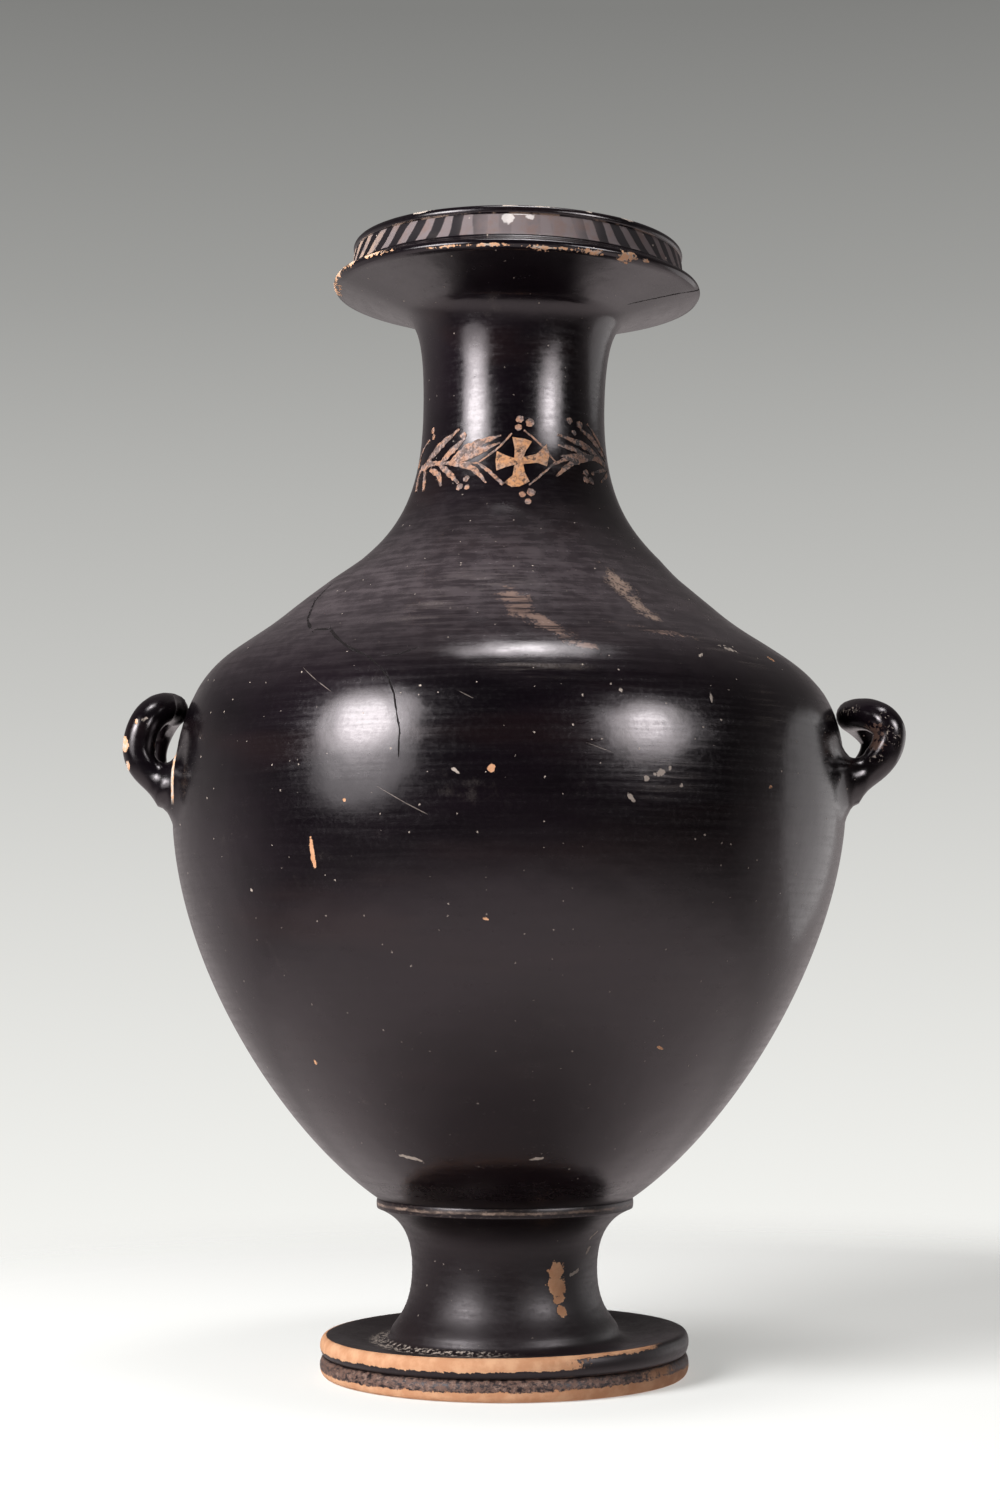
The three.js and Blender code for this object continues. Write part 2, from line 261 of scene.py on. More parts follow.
class Graph:
    """The node tree of a material or a world, with short calls for the nodes that are used."""

    def __init__(self, owner: bpy.types.ID) -> None:
        """Empties the owner's node tree and reads its coordinates."""
        owner.use_nodes = True
        self.owner = owner
        self.tree = owner.node_tree
        self.tree.nodes.clear()
        self.coordinates = self.tree.nodes.new("ShaderNodeTexCoord").outputs
        self.place = self.coordinates["Object"]

    def node(self, kind: str, inputs: dict[int | str, object], **settings: object) -> object:
        """Adds a node.

        Args:
            kind: Name of the node type.
            inputs: Value or source socket for each input, by name or place.
            **settings: The node's own properties.

        Returns:
            The new node.
        """
        made = self.tree.nodes.new(kind)
        for key, value in settings.items():
            setattr(made, key, value)
        for key, value in inputs.items():
            if isinstance(value, bpy.types.NodeSocket):
                self.tree.links.new(value, made.inputs[key])
            else:
                made.inputs[key].default_value = value
        return made

    def math(self, operation: str, *values: object) -> object:
        """Returns the result of one arithmetic step."""
        return self.node("ShaderNodeMath", dict(enumerate(values)), operation=operation).outputs[0]

    def step(self, value: object, low: float, high: float) -> object:
        """Returns a smooth step of a value from 0 at low to 1 at high."""
        made = self.node(
            "ShaderNodeMapRange",
            {"Value": value, "From Min": low, "From Max": high},
            interpolation_type="SMOOTHSTEP",
        )
        return made.outputs["Result"]

    def within(self, value: object, low: float, high: float, soft: float) -> object:
        """Returns 1 where a value lies between two limits, with soft edges."""
        return self.math(
            "MULTIPLY",
            self.step(value, low - soft, low + soft),
            self.step(value, high + soft, high - soft),
        )

    def split(self, vector: object) -> object:
        """Returns the outputs X, Y and Z of a vector."""
        return self.node("ShaderNodeSeparateXYZ", {0: vector}).outputs

    def join(self, x: object, y: object, z: object = 0.0) -> object:
        """Returns a vector from three values."""
        return self.node("ShaderNodeCombineXYZ", {0: x, 1: y, 2: z}).outputs[0]

    def scaled(self, vector: object, scale: Place) -> object:
        """Returns a vector with its parts multiplied."""
        made = self.node("ShaderNodeVectorMath", {0: vector, 1: scale}, operation="MULTIPLY")
        return made.outputs[0]

    def length(self, vector: object) -> object:
        """Returns the length of a vector."""
        made = self.node("ShaderNodeVectorMath", {0: vector}, operation="LENGTH")
        return made.outputs["Value"]

    def reach(self, sheet: object, middle: Pair, half: Pair, turn: float = 0.0) -> object:
        """Measures how far places on a flat sheet lie from the middle of an ellipse.

        Args:
            sheet: The places.
            middle: Middle of the ellipse.
            half: Half its width and half its height.
            turn: Its turn in degrees.

        Returns:
            The socket of the distance, 1 on the ellipse's edge.
        """
        mapped = self.node(
            "ShaderNodeMapping",
            {
                "Vector": sheet,
                "Location": (*middle, 0),
                "Rotation": (0, 0, math.radians(turn)),
                "Scale": (*half, 1),
            },
            vector_type="TEXTURE",
        )
        return self.length(mapped.outputs[0])

    def nearest(self, reaches: list[object]) -> object:
        """Returns the smallest of several distances."""
        result = reaches[0]
        for reach in reaches[1:]:
            result = self.math("MINIMUM", result, reach)
        return result

    def noise(
        self, vector: object, scale: float, detail: float = 3.0, rough: float = 0.5
    ) -> object:
        """Returns a noise value from 0 to 1 over a vector."""
        made = self.node(
            "ShaderNodeTexNoise",
            {"Vector": vector, "Scale": scale, "Detail": detail, "Roughness": rough},
        )
        return made.outputs[0]

    def mix(self, share: object, first: object, second: object) -> object:
        """Returns a colour between two colours or sockets."""
        made = self.tree.nodes.new("ShaderNodeMix")
        made.data_type = "RGBA"
        made.clamp_factor = True
        for key, value in ((0, share), (6, first), (7, second)):
            if isinstance(value, bpy.types.NodeSocket):
                self.tree.links.new(value, made.inputs[key])
            elif key == 0:
                made.inputs[key].default_value = value
            else:
                made.inputs[key].default_value = (*value, 1.0)
        return made.outputs[2]

    def blend(self, share: object, first: object, second: object) -> object:
        """Returns a number between two numbers or sockets."""
        made = self.node("ShaderNodeMix", {0: share, 2: first, 3: second})
        return made.outputs[0]

    def either(self, *masks: object) -> object:
        """Returns the largest of several masks, of which those that are a plain 0 don't count."""
        drawn = [mask for mask in masks if isinstance(mask, bpy.types.NodeSocket)]
        result = drawn[0] if drawn else 0.0
        for mask in drawn[1:]:
            result = self.math("MAXIMUM", result, mask)
        return result

    def part(self, mask: object, share: float) -> object:
        """Returns a mask at a share of its strength."""
        return self.math("MULTIPLY", mask, share) if isinstance(mask, bpy.types.NodeSocket) else 0.0

    def ramp(self, value: object, stops: list[tuple[float, Colour]]) -> object:
        """Returns the colour of a value on a ramp, whose stops are given in rising order."""
        made = self.node("ShaderNodeValToRGB", {"Fac": value})
        elements = made.color_ramp.elements
        elements.remove(elements[-1])
        elements[0].position, elements[0].color = stops[0][0], (*stops[0][1], 1.0)
        for position, tone in stops[1:]:
            elements.new(position).color = (*tone, 1.0)
        return made.outputs["Color"]

    def bump(self, height: object) -> object:
        """Returns the normal of a relief whose height is given in metres."""
        made = self.node("ShaderNodeBump", {"Strength": 1.0, "Distance": 1.0, "Height": height})
        return made.outputs[0]

    def finish(self, **inputs: object) -> bpy.types.Material:
        """Closes the material with one surface shader.

        Args:
            **inputs: The shader's inputs, with underscores for the spaces in their names.

        Returns:
            The material.
        """
        named_inputs = {key.replace("_", " "): value for key, value in inputs.items()}
        surface = self.node("ShaderNodeBsdfPrincipled", named_inputs)
        out = self.tree.nodes.new("ShaderNodeOutputMaterial")
        self.tree.links.new(surface.outputs[0], out.inputs[0])
        return self.owner


@dataclass(frozen=True)
class Mark:
    """A small patch on the outside, at an azimuth and a height, with its size in millimetres."""

    azimuth: float
    height: float
    wide: float
    tall: float
    turn: float = 0.0


@dataclass(frozen=True)
class Seam:
    """A crack or scratch that runs through several places, given as azimuth and height."""

    places: tuple[Pair, ...]
    width: float

    def marks(self, radius_at: Callable[[float], float]) -> list[Mark]:
        """Returns the seam as a chain of thin patches, one for each stretch."""
        chain = []
        for (a0, z0), (a1, z1) in zip(self.places, self.places[1:]):
            middle = (z0 + z1) / 2
            across = math.radians(a1 - a0) * radius_at(middle)
            length = math.hypot(across, z1 - z0)
            turn = math.degrees(math.atan2(z1 - z0, across))
            chain.append(Mark((a0 + a1) / 2, middle, length * 1.15, self.width, turn))
        return chain


CRACKS = (
    Seam(((-24.5, 277), (-21.9, 272.7), (-20, 267.9), (-18.7, 262.1), (-18, 255.7)), 0.60),
    Seam(((-18, 255.7), (-17.2, 248.3), (-17.2, 240)), 0.48),
    Seam(((-21.6, 276.7), (-18.7, 277.2), (-15.4, 279.7)), 0.50),
    Seam(((-48.6, 297), (-53.5, 302.5), (-57.6, 306.9), (-61, 314)), 0.8),
    Seam(((-48.6, 297), (-42, 291), (-36.3, 290), (-28.5, 281), (-24.5, 277)), 0.7),
    Seam(((64, 431.8), (69.9, 434.6), (74.7, 437.4), (81, 440.8)), 0.55),
)
SCRATCHES = (
    Seam(((-36.5, 273), (-33, 268), (-30.1, 264)), 0.22),
    Seam(((-19.5, 226.7), (-16, 222), (-12.9, 218.2)), 0.26),
    Seam(((12, 243), (15, 240.5)), 0.2),
    Seam(((-8, 262), (-6, 259.6)), 0.2),
)
CLAY_CHIPS = (
    Mark(-32.2, 204.5, 1.8, 12.0, 4),
    Mark(-2.9, 234.1, 2.4, 2.8),
    Mark(45.2, 229.9, 2.0, 1.2, 20),
    Mark(-3.5, 180.4, 2.2, 1.1, -15),
    Mark(-44.4, 127.1, 1.4, 2.2),
    Mark(32.4, 133.0, 3.0, 1.0, -20),
    Mark(33.0, 44.2, 6.8, 8.0),
    Mark(32.8, 38.6, 8.4, 9.0),
    Mark(34.2, 33.0, 5.4, 2.6, 10),
    Mark(34.6, 28.6, 3.8, 4.8),
    Mark(57.0, 281.5, 4.0, 1.6, -25),
    Mark(-26.0, 223.5, 1.5, 1.5),
)
PALE_CHIPS = (
    Mark(60.3, 56.8, 4.2, 1.2, 35),
    Mark(59.3, 50.8, 3.4, 1.2, 50),
    Mark(45.2, 282.7, 8.0, 1.6, -14),
    Mark(33.6, 262.2, 0.8, 2.8),
    Mark(18.6, 223.8, 4.4, 1.6, -50),
    Mark(23.3, 233.1, 3.2, 1.8, 20),
    Mark(21.0, 231.0, 1.6, 1.6),
    Mark(25.0, 235.0, 1.2, 1.2),
    Mark(27.0, 229.0, 1.4, 1.4),
    Mark(-28.4, 90.6, 7.5, 1.0, -12),
    Mark(9.0, 90.9, 4.5, 0.8, 6),
    Mark(-8.4, 233.5, 2.6, 1.0, -40),
    Mark(-46.8, 191.7, 1.4, 1.2),
    Mark(17.3, 263.1, 1.3, 1.0),
    Mark(35.5, 278.9, 2.2, 0.9, 30),
    Mark(34.9, 253.7, 1.4, 1.1),
    Mark(47.8, 42.9, 5.0, 1.2, 20),
)
DEPOSITS = (
    Mark(32.0, 310.0, 7.0, 12.0, 10),
    Mark(32.6, 301.0, 6.5, 9.0, 20),
    Mark(33.4, 295.0, 8.5, 3.0, -18),
)
STREAKS = (
    Mark(3.0, 298.5, 14.0, 8.0, -52),
    Mark(8.5, 288.5, 18.0, 5.0, -38),
    Mark(13.5, 280.5, 8.0, 2.5, -10),
    Mark(30.0, 288.5, 22.0, 2.2, -8),
)
DUST = (
    Mark(-17.0, 298.0, 20.0, 12.0, -10),
    Mark(45.0, 282.0, 26.0, 9.0, -12),
    Mark(24.0, 232.0, 22.0, 10.0),
    Mark(47.0, 256.0, 14.0, 20.0),
    Mark(4.0, 272.0, 24.0, 6.0),
    Mark(-5.0, 309.0, 26.0, 8.0),
)
HANDLE_CHIPS = (
    (-155.2, 250.9, 4.2, 5.8),
    (-153.6, 242.1, 1.8, 3.8),
    (-149.8, 260.0, 1.2, 2.2),
)
HANDLE_WEAR = (
    (140.8, 254.9, 9.0, 7.0),
    (143.6, 250.4, 6.0, 4.0),
    (-139.5, 249.0, 5.0, 5.0),
)
HANDLE_SPECKS = (
    (150.6, 254.6, 8.0, 10.0),
    (143.2, 244.8, 6.0, 4.5),
    (135.6, 265.4, 8.0, 5.0),
    (147.0, 262.4, 5.0, 4.0),
    (-146.6, 259.8, 4.0, 5.0),
    (154.0, 247.0, 3.0, 5.0),
)
LIP_CHIPS = (
    (-88.0, 442.0, 12.0, 4.2),
    (-72.0, 443.0, 18.0, 2.6),
    (-62.0, 443.6, 5.0, 3.0),
    (-50.0, 443.6, 13.0, 1.8),
    (-22.0, 441.6, 9.0, 0.8),
    (-8.0, 441.5, 12.0, 0.9),
    (10.0, 441.0, 15.0, 1.0),
    (22.0, 441.2, 7.0, 1.3),
    (35.0, 442.0, 9.0, 2.4),
    (42.0, 441.6, 4.0, 1.2),
)
# Painted highlights on the front of the mouth's band: a white glint put into the colour, as
# azimuth, height, wide and tall.
PAINTED_BAND_GLINTS = (
    (-3.4, 454.2, 4.6, 4.4),
    (3.8, 454.8, 3.6, 2.2),
    (0.0, 456.0, 11.0, 1.0),
)
RIM_CHIPS = (
    (-35.0, 459.3, 4.0, 1.0),
    (-3.0, 459.5, 6.0, 0.7),
    (8.0, 459.5, 8.0, 0.8),
    (24.0, 459.3, 2.5, 0.8),
    (40.0, 459.3, 7.0, 1.0),
    (52.0, 452.0, 0.9, 0.9),
    (60.0, 449.0, 0.9, 0.9),
    (66.0, 447.5, 0.9, 1.2),
    (150.0, 459.3, 4.0, 1.0),
    (-120.0, 459.3, 4.5, 1.0),
)


@dataclass(frozen=True)
class Clay:
    """Colours of the fired clay and of what lies on it."""

    orange: Colour = (0.475, 0.235, 0.125)
    light: Colour = (0.590, 0.335, 0.195)
    worn: Colour = (0.150, 0.088, 0.068)
    tan: Colour = (0.235, 0.155, 0.125)
    worn_pale: Colour = (0.330, 0.235, 0.185)
    pale: Colour = (0.50, 0.42, 0.36)
    ground: Colour = (0.150, 0.122, 0.124)
    # Colour of the painted highlight on the front of the mouth's band.
    painted_glint: Colour = (0.62, 0.57, 0.55)
    # Colour of the lighter band over the upper shoulder and lower neck.
    upper_pale: Colour = (0.130, 0.106, 0.113)
    dark: Colour = (0.004, 0.003, 0.003)
    roughness: float = 0.78


@dataclass(frozen=True)
class Glaze:
    """The black gloss: its colours, how dull its worn places are and how deep its marks lie."""

    black: Colour = (0.0024, 0.0016, 0.0025)
    violet: Colour = (0.0056, 0.0034, 0.0053)
    brown: Colour = (0.0100, 0.0050, 0.0052)
    sheen: Colour = (1.0, 0.925, 0.955)
    index: float = 1.52
    shine: float = 0.5
    matt_shine: float = 0.22
    roughness: float = 0.175
    streak_change: Pair = (-0.02, 0.06)
    foot_dull: float = 0.24
    grain_dull: float = 0.05
    rubbed_dull: float = 0.14
    band_dull: float = 0.10
    streak_depth: float = 0.000011
    ridge_depth: float = 0.000022
    sway_depth: float = 0.00045
    dent_depth: float = 0.000045
    grain_depth: float = 0.000013
    chip_depth: float = 0.00012
    crack_depth: float = 0.0006
    clay: Clay = Clay()


@dataclass(frozen=True)
class Patterns:
    """Scales and limits of the patterns that run over the whole surface, in metres and radians."""

    grain_scale: float = 620
    patch_scale: float = 150
    sway_scale: float = 34
    rubbed_scale: float = 42
    tone_scale: float = 9
    ragged: float = 7.0
    fine_streaks: Place = (3.0, 480.0, 1.0)
    broad_streaks: Place = (0.9, 38.0, 1.0)
    speck_scale: float = 290.0
    speck_pick: float = 0.50
    speck_size: float = 0.120
    speck_edge: float = 0.03
    crumble_scale: float = 1900
    crumble: float = 0.30
    speck_rise: Pair = (0.14, 0.27)
    speck_low_share: float = 0.35
    clean_neck: Pair = (0.340, 0.420)
    clean_share: float = 0.6
    # Heights, edge and strength of the lighter band over the upper shoulder and lower neck.
    upper_pale: Pair = (0.294, 0.330)
    upper_pale_fade: float = 0.034
    upper_pale_share: Pair = (0.26, 0.64)
    brown_below: Pair = (0.20, 0.10)
    dull_below: Pair = (0.085, 0.060)


@dataclass(frozen=True)
class FootWear:
    """Where the glaze of the foot and the stem ends: millimetres above the rest, radians round."""

    ragged: float = 0.60
    ragged_turn: float = 0.10
    upper: Pair = (11.6, 19.0)
    upper_span: Pair = (-3.0, 0.39)
    sliver: Pair = (15.4, 19.0)
    sliver_span: Pair = (0.33, 0.93)
    lower: Pair = (4.4, 4.0)
    patch: Pair = (3.8, 7.4)
    patch_span: Pair = (0.84, 1.06)
    rest_face: Pair = (0.0012, 0.0004)
    worn: Pair = (4.0, 8.6)
    line: Pair = (4.0, 4.7)
    crumb_scale: float = 420
    crumb_stretch: Place = (0.075, 1.6, 1.0)
    hollow_height: float = 14.0
    hollow_limits: Pair = (0.0600, 0.0335)
    ridge_line: Pair = (67.6, 68.6)
    ridge_rubbed: Pair = (66.4, 69.8)
    ridge_breaks: Place = (1.0, 30.0, 1.0)
    deposit: Pair = (13.2, 15.2)
    deposit_radius: Pair = (0.056, 0.052)
    deposit_span: Pair = (-1.9, -0.1)


@dataclass(frozen=True)
class Tongues:
    """The painted tongues of the mouth's band, in shares of one tongue or of the band's height."""

    face: Pair = (0.0655, 0.0662)
    gap_below: float = 0.8
    gap_above: float = 0.2
    slant: float = 0.125
    slant_span: Pair = (0.1, 0.9)
    wander_scale: float = 60
    wander: float = 0.06
    wander_radius: float = 68
    width: Pair = (0.245, 0.285)
    edge: float = 0.035
    ragged: float = 0.018
    faded_span: Pair = (-0.26, 0.40)
    faded: Pair = (0.80, 0.97)
    dusty_side: Pair = (-0.75, -1.15)


class GlazeFinish:
    """Builds one zone's material from the glaze, the clay and the places where it is worn."""

    def __init__(self, glaze: Glaze, form: "Form", zone: Zone) -> None:
        """Starts the material of one zone and its shared coordinates."""
        self.glaze = glaze
        self.form = form
        self.zone = zone
        self.patterns = Patterns()
        self.wear = FootWear()
        self.graph = Graph(bpy.data.materials.new(f"black_gloss_{zone.name.lower()}"))
        g = self.graph
        self.x, self.y, self.z = g.split(g.place)
        self.axis = form.lean_at(min(form.rim, sum(zone.value) / 2))
        across = g.math("SUBTRACT", self.x, self.axis * MM)
        self.turn = g.math("ARCTAN2", across, g.math("MULTIPLY", self.y, -1.0))
        self.radius = g.length(g.join(across, self.y))
        self.grain = g.noise(g.place, self.patterns.grain_scale, 4, 0.6)
        self.patch = g.noise(g.place, self.patterns.patch_scale, 4, 0.6)
        ragged = g.math("SUBTRACT", g.blend(0.5, self.grain, self.patch), 0.5)
        self.ragged = g.math("MULTIPLY", ragged, self.patterns.ragged)

    def roughened(self, value: object, share: float) -> object:
        """Returns a value with a share of the ragged noise added, so that its edge is uneven."""
        g = self.graph
        return g.math("ADD", value, g.math("MULTIPLY", self.ragged, share))

    def unrolled(self, radius: float) -> object:
        """Returns the outside as a flat sheet in metres, true where the jar has this radius."""
        g = self.graph
        return g.join(g.math("MULTIPLY", self.turn, radius * MM), self.z)

    def patches(self, marks: Iterable[Mark], soft: float, rough: float) -> object:
        """Draws patches as one mask.

        Args:
            marks: The patches.
            soft: How soft their edge is, as a share of their half size.
            rough: How far the noise eats into them, as such a share.

        Returns:
            The mask's socket, 1 inside a patch.
        """
        g, form = self.graph, self.form
        reaches = []
        for mark in marks:
            if not self.zone.meets(mark.height, max(mark.wide, mark.tall) / 2 + 2):
                continue
            radius = form.radius_at(mark.height)
            shift = form.lean_at(mark.height) - self.axis
            side = radius * math.sin(math.radians(mark.azimuth)) + shift
            azimuth = math.atan2(side, radius * math.cos(math.radians(mark.azimuth)))
            middle = (azimuth * radius * MM, mark.height * MM)
            half = (mark.wide * MM / 2, mark.tall * MM / 2)
            reaches.append(g.reach(self.unrolled(radius), middle, half, mark.turn))
        if not reaches:
            return 0.0
        return g.step(self.roughened(g.nearest(reaches), rough), 1 + soft, 1 - soft)

    def front_marks(self, marks: Iterable[FrontMark], rough: float) -> object:
        """Returns a mask of ragged patches on the front half, given in the front view."""
        g = self.graph
        front = g.join(self.x, self.z)
        reaches = [
            g.reach(front, (x * MM, height * MM), (wide * MM / 2, tall * MM / 2))
            for x, height, wide, tall in marks
        ]
        mask = g.step(self.roughened(g.nearest(reaches), rough), 1.1, 0.9)
        return g.math("MULTIPLY", mask, g.step(self.y, 0.0, -0.004))

    def seat_line(self) -> object:
        """Returns the worn line along the front root of the left handle."""
        g = self.graph
        line = g.within(self.roughened(self.x, 0.00018), -0.1352, -0.1342, 0.0002)
        front = g.step(self.y, 0.0, -0.01)
        length = g.math("MULTIPLY", g.within(self.z, 0.2280, 0.2472, 0.002), front)
        return g.math("MULTIPLY", line, length)

    def level(self, tilt: float) -> object:
        """Returns the height in millimetres with a tilt to the right taken out."""
        g = self.graph
        return g.math("DIVIDE", g.math("SUBTRACT", self.z, g.math("MULTIPLY", self.x, tilt)), MM)

    def foot_masks(self) -> tuple[object, object]:
        """Returns the reserved clay of the foot and the brown worn band on its lower roll."""
        g, wear = self.graph, self.wear
        level = self.roughened(self.level(self.form.foot_tilt), wear.ragged)
        edge = self.form.disc_edge * MM
        side = g.step(self.radius, edge - 0.0004, edge + 0.0003)
        front = self.roughened(self.turn, wear.ragged_turn)
        upper = g.math(
            "MULTIPLY", g.within(level, *wear.upper, 0.12), g.within(front, *wear.upper_span, 0.03)
        )
        sliver = g.math(
            "MULTIPLY",
            g.within(level, *wear.sliver, 0.12),
            g.within(front, *wear.sliver_span, 0.05),
        )
        patch = g.math(
            "MULTIPLY", g.within(level, *wear.patch, 0.3), g.within(front, *wear.patch_span, 0.05)
        )
        clay = g.math("MULTIPLY", g.either(upper, sliver, g.step(level, *wear.lower), patch), side)
        worn = g.math("MULTIPLY", g.within(level, *wear.worn, 0.4), side)
        crumbs = g.noise(
            g.scaled(g.join(self.turn, self.z), wear.crumb_stretch), wear.crumb_scale, 5, 0.75
        )
        eroded = g.math("MULTIPLY", worn, g.step(crumbs, 0.42, 0.55))
        line = g.math("MULTIPLY", g.within(level, *wear.line, 0.2), g.step(crumbs, 0.56, 0.50))
        clay = g.math("SUBTRACT", clay, g.part(line, 0.8))
        return g.either(clay, g.step(self.z, *wear.rest_face), self.hollow_mask()), eroded

    def hollow_mask(self) -> object:
        """Returns a mask of the bare hollow under the foot, well inside the stem's face."""
        g, wear = self.graph, self.wear
        limits = {"To Min": wear.hollow_limits[0], "To Max": wear.hollow_limits[1]}
        limit = g.node(
            "ShaderNodeMapRange",
            {"Value": g.math("DIVIDE", self.z, MM), "From Max": wear.hollow_height, **limits},
        ).outputs["Result"]
        return g.step(g.math("SUBTRACT", limit, self.radius), -0.0004, 0.0004)

    def ridge_mask(self) -> object:
        """Returns the worn line along the ridge where the body meets the stem."""
        g, wear = self.graph, self.wear
        level = self.roughened(g.math("DIVIDE", self.z, MM), 0.30)
        line = g.within(level, *wear.ridge_line, 0.30)
        rubbed = g.math(
            "MULTIPLY", g.within(level, *wear.ridge_rubbed, 0.6), g.step(self.grain, 0.54, 0.62)
        )
        broken = g.noise(g.scaled(g.join(self.turn, self.z), wear.ridge_breaks), 9, 4, 0.7)
        worn = g.either(line, g.part(rubbed, 0.5))
        return g.math("MULTIPLY", worn, g.blend(g.step(broken, 0.42, 0.60), 0.25, 1.0))

    def stem_deposit(self) -> object:
        """Returns the pale line of dirt where the stem rises from the disc."""
        g, wear = self.graph, self.wear
        level = g.within(self.level(self.form.foot_tilt), *wear.deposit, 0.4)
        ring = g.math("MULTIPLY", level, g.step(self.radius, *wear.deposit_radius))
        left = g.within(self.turn, *wear.deposit_span, 0.3)
        return g.math("MULTIPLY", g.math("MULTIPLY", ring, left), g.step(self.grain, 0.50, 0.60))

    def ring_marks(self, marks: Iterable[RingMark], rough: float) -> object:
        """Returns ragged patches on the tilted mouth."""
        tilt = self.form.mouth_tilt
        placed = []
        for azimuth, height, wide, tall in marks:
            radius = self.form.radius_at(height)
            rise = tilt * radius * math.sin(math.radians(azimuth))
            slope = math.degrees(math.atan(tilt * math.cos(math.radians(azimuth))))
            placed.append(Mark(azimuth, height + rise, wide, tall, slope))
        return self.patches(placed, 0.15, rough)

    def tongues(self, paint: Tongues) -> tuple[object, object]:
        """Draws the painted tongues on the mouth's band.

        Args:
            paint: Their sizes.

        Returns:
            The mask of the reserved ground of the band, and that of the dark tongues on it.
        """
        g = self.graph
        low, high = self.form.band
        level = self.level(self.form.mouth_tilt)
        rise = g.math("DIVIDE", g.math("SUBTRACT", level, low), high - low)
        side = g.step(self.radius, *paint.face)
        band = g.within(level, low + paint.gap_below, high - paint.gap_above, 0.15)
        leaning = g.step(g.math("ABSOLUTE", self.turn), *paint.slant_span)
        lean = g.math("MULTIPLY", leaning, paint.slant)
        slant = g.math("MULTIPLY", g.math("MULTIPLY", rise, lean), g.math("SIGN", self.turn))
        sway = g.noise(self.unrolled(paint.wander_radius), paint.wander_scale, 1)
        wander = g.math("MULTIPLY", g.math("SUBTRACT", sway, 0.5), paint.wander)
        around = g.math("ADD", g.math("ADD", self.turn, slant), wander)
        beat = g.math("FRACT", g.math("MULTIPLY", around, self.form.tongue_count / (2 * math.pi)))
        share = g.math("ABSOLUTE", g.math("SUBTRACT", beat, 0.5))
        edge = self.roughened(g.math("SUBTRACT", share, g.blend(rise, *paint.width)), paint.ragged)
        stroke = g.step(edge, paint.edge, -paint.edge)
        middle = g.within(self.turn, *paint.faded_span, 0.12)
        faded = g.math("MULTIPLY", middle, g.blend(g.step(self.patch, 0.40, 0.60), *paint.faded))
        return (
            g.math("MULTIPLY", band, side),
            g.math("MULTIPLY", stroke, g.math("SUBTRACT", 1.0, faded)),
        )

    def band_colours(self, base: object) -> tuple[object, object]:
        """Paints the mouth's band: ground, tongues, painted highlight and reserved groove over it.

        Args:
            base: Colour of the glaze.

        Returns:
            The new colour and the mask of the whole band, which is duller than the glaze.
        """
        g, clay, paint = self.graph, self.glaze.clay, Tongues()
        band, stroke = self.tongues(paint)
        reserve = g.math("MULTIPLY", band, g.math("SUBTRACT", 1.0, stroke))
        dust_and_glint = g.mix(g.part(g.step(self.patch, 0.46, 0.66), 0.5), clay.ground, clay.worn)
        side = g.step(self.turn, *paint.dusty_side)
        pale = g.math("MULTIPLY", side, g.step(self.patch, 0.36, 0.54))
        dust_and_glint = g.mix(pale, dust_and_glint, clay.worn_pale)
        # Painted highlight: a white glint on the band's front, put into the ground's colour.
        dust_and_glint = g.mix(g.part(self.ring_marks(PAINTED_BAND_GLINTS, 0.35), 0.9), dust_and_glint, clay.painted_glint)
        base = g.mix(reserve, base, dust_and_glint)
        top = self.form.band[1]
        wavy = self.roughened(self.level(self.form.mouth_tilt), 0.15)
        line = g.within(wavy, top - 0.1, top + 0.5, 0.15)
        groove = g.math("MULTIPLY", line, g.step(self.radius, *paint.face))
        worn = g.math("MULTIPLY", groove, g.step(self.patch, 0.46, 0.58))
        return g.mix(g.part(worn, 0.5), base, clay.worn_pale), band

    def specks(self) -> tuple[object, object]:
        """Returns the scattered pale specks and the fainter rubbed spots of the whole surface."""
        g, pattern = self.graph, self.patterns
        cells = g.node(
            "ShaderNodeTexVoronoi",
            {"Vector": g.place, "Scale": pattern.speck_scale, "Randomness": 1.0},
        )
        large = g.step(g.split(cells.outputs["Color"])[0], pattern.speck_pick, 1.0)
        size = g.math("MULTIPLY", g.math("MULTIPLY", large, large), pattern.speck_size)
        crumbled = g.math("SUBTRACT", g.noise(g.place, pattern.crumble_scale, 2, 0.6), 0.5)
        crumbled = g.math("MULTIPLY", crumbled, pattern.crumble)
        near = g.math("ADD", cells.outputs["Distance"], crumbled)
        dots = g.step(g.math("SUBTRACT", size, near), 0.0, pattern.speck_edge)
        share = g.blend(g.step(self.z, *pattern.speck_rise), pattern.speck_low_share, 1.0)
        clean = g.part(g.within(self.z, *pattern.clean_neck, 0.01), pattern.clean_share)
        share = g.math("MULTIPLY", share, g.math("SUBTRACT", 1.0, clean))
        rubbed = g.step(g.noise(g.place, pattern.rubbed_scale, 6, 0.75), 0.60, 0.78)
        return g.math("MULTIPLY", dots, share), rubbed

    def streaks(self) -> tuple[object, object]:
        """Returns fine and broad brush streaks that run round the jar."""
        g, pattern = self.graph, self.patterns
        sheet = g.join(self.turn, self.z)
        fine = g.noise(g.scaled(sheet, pattern.fine_streaks), 1.0, 4, 0.65)
        return fine, g.noise(g.scaled(sheet, pattern.broad_streaks), 1.0, 3, 0.5)

    def ground(self, fine: object, broad: object) -> object:
        """Returns the colour of the black gloss itself, with its violet and brown passages."""
        g, glaze, pattern = self.graph, self.glaze, self.patterns
        cloud = g.noise(g.scaled(g.place, (1.0, 1.0, 2.2)), pattern.tone_scale, 4, 0.6)
        base = g.mix(g.step(cloud, 0.36, 0.66), glaze.black, glaze.violet)
        base = g.mix(g.part(g.step(broad, 0.50, 0.72), 0.55), base, glaze.brown)
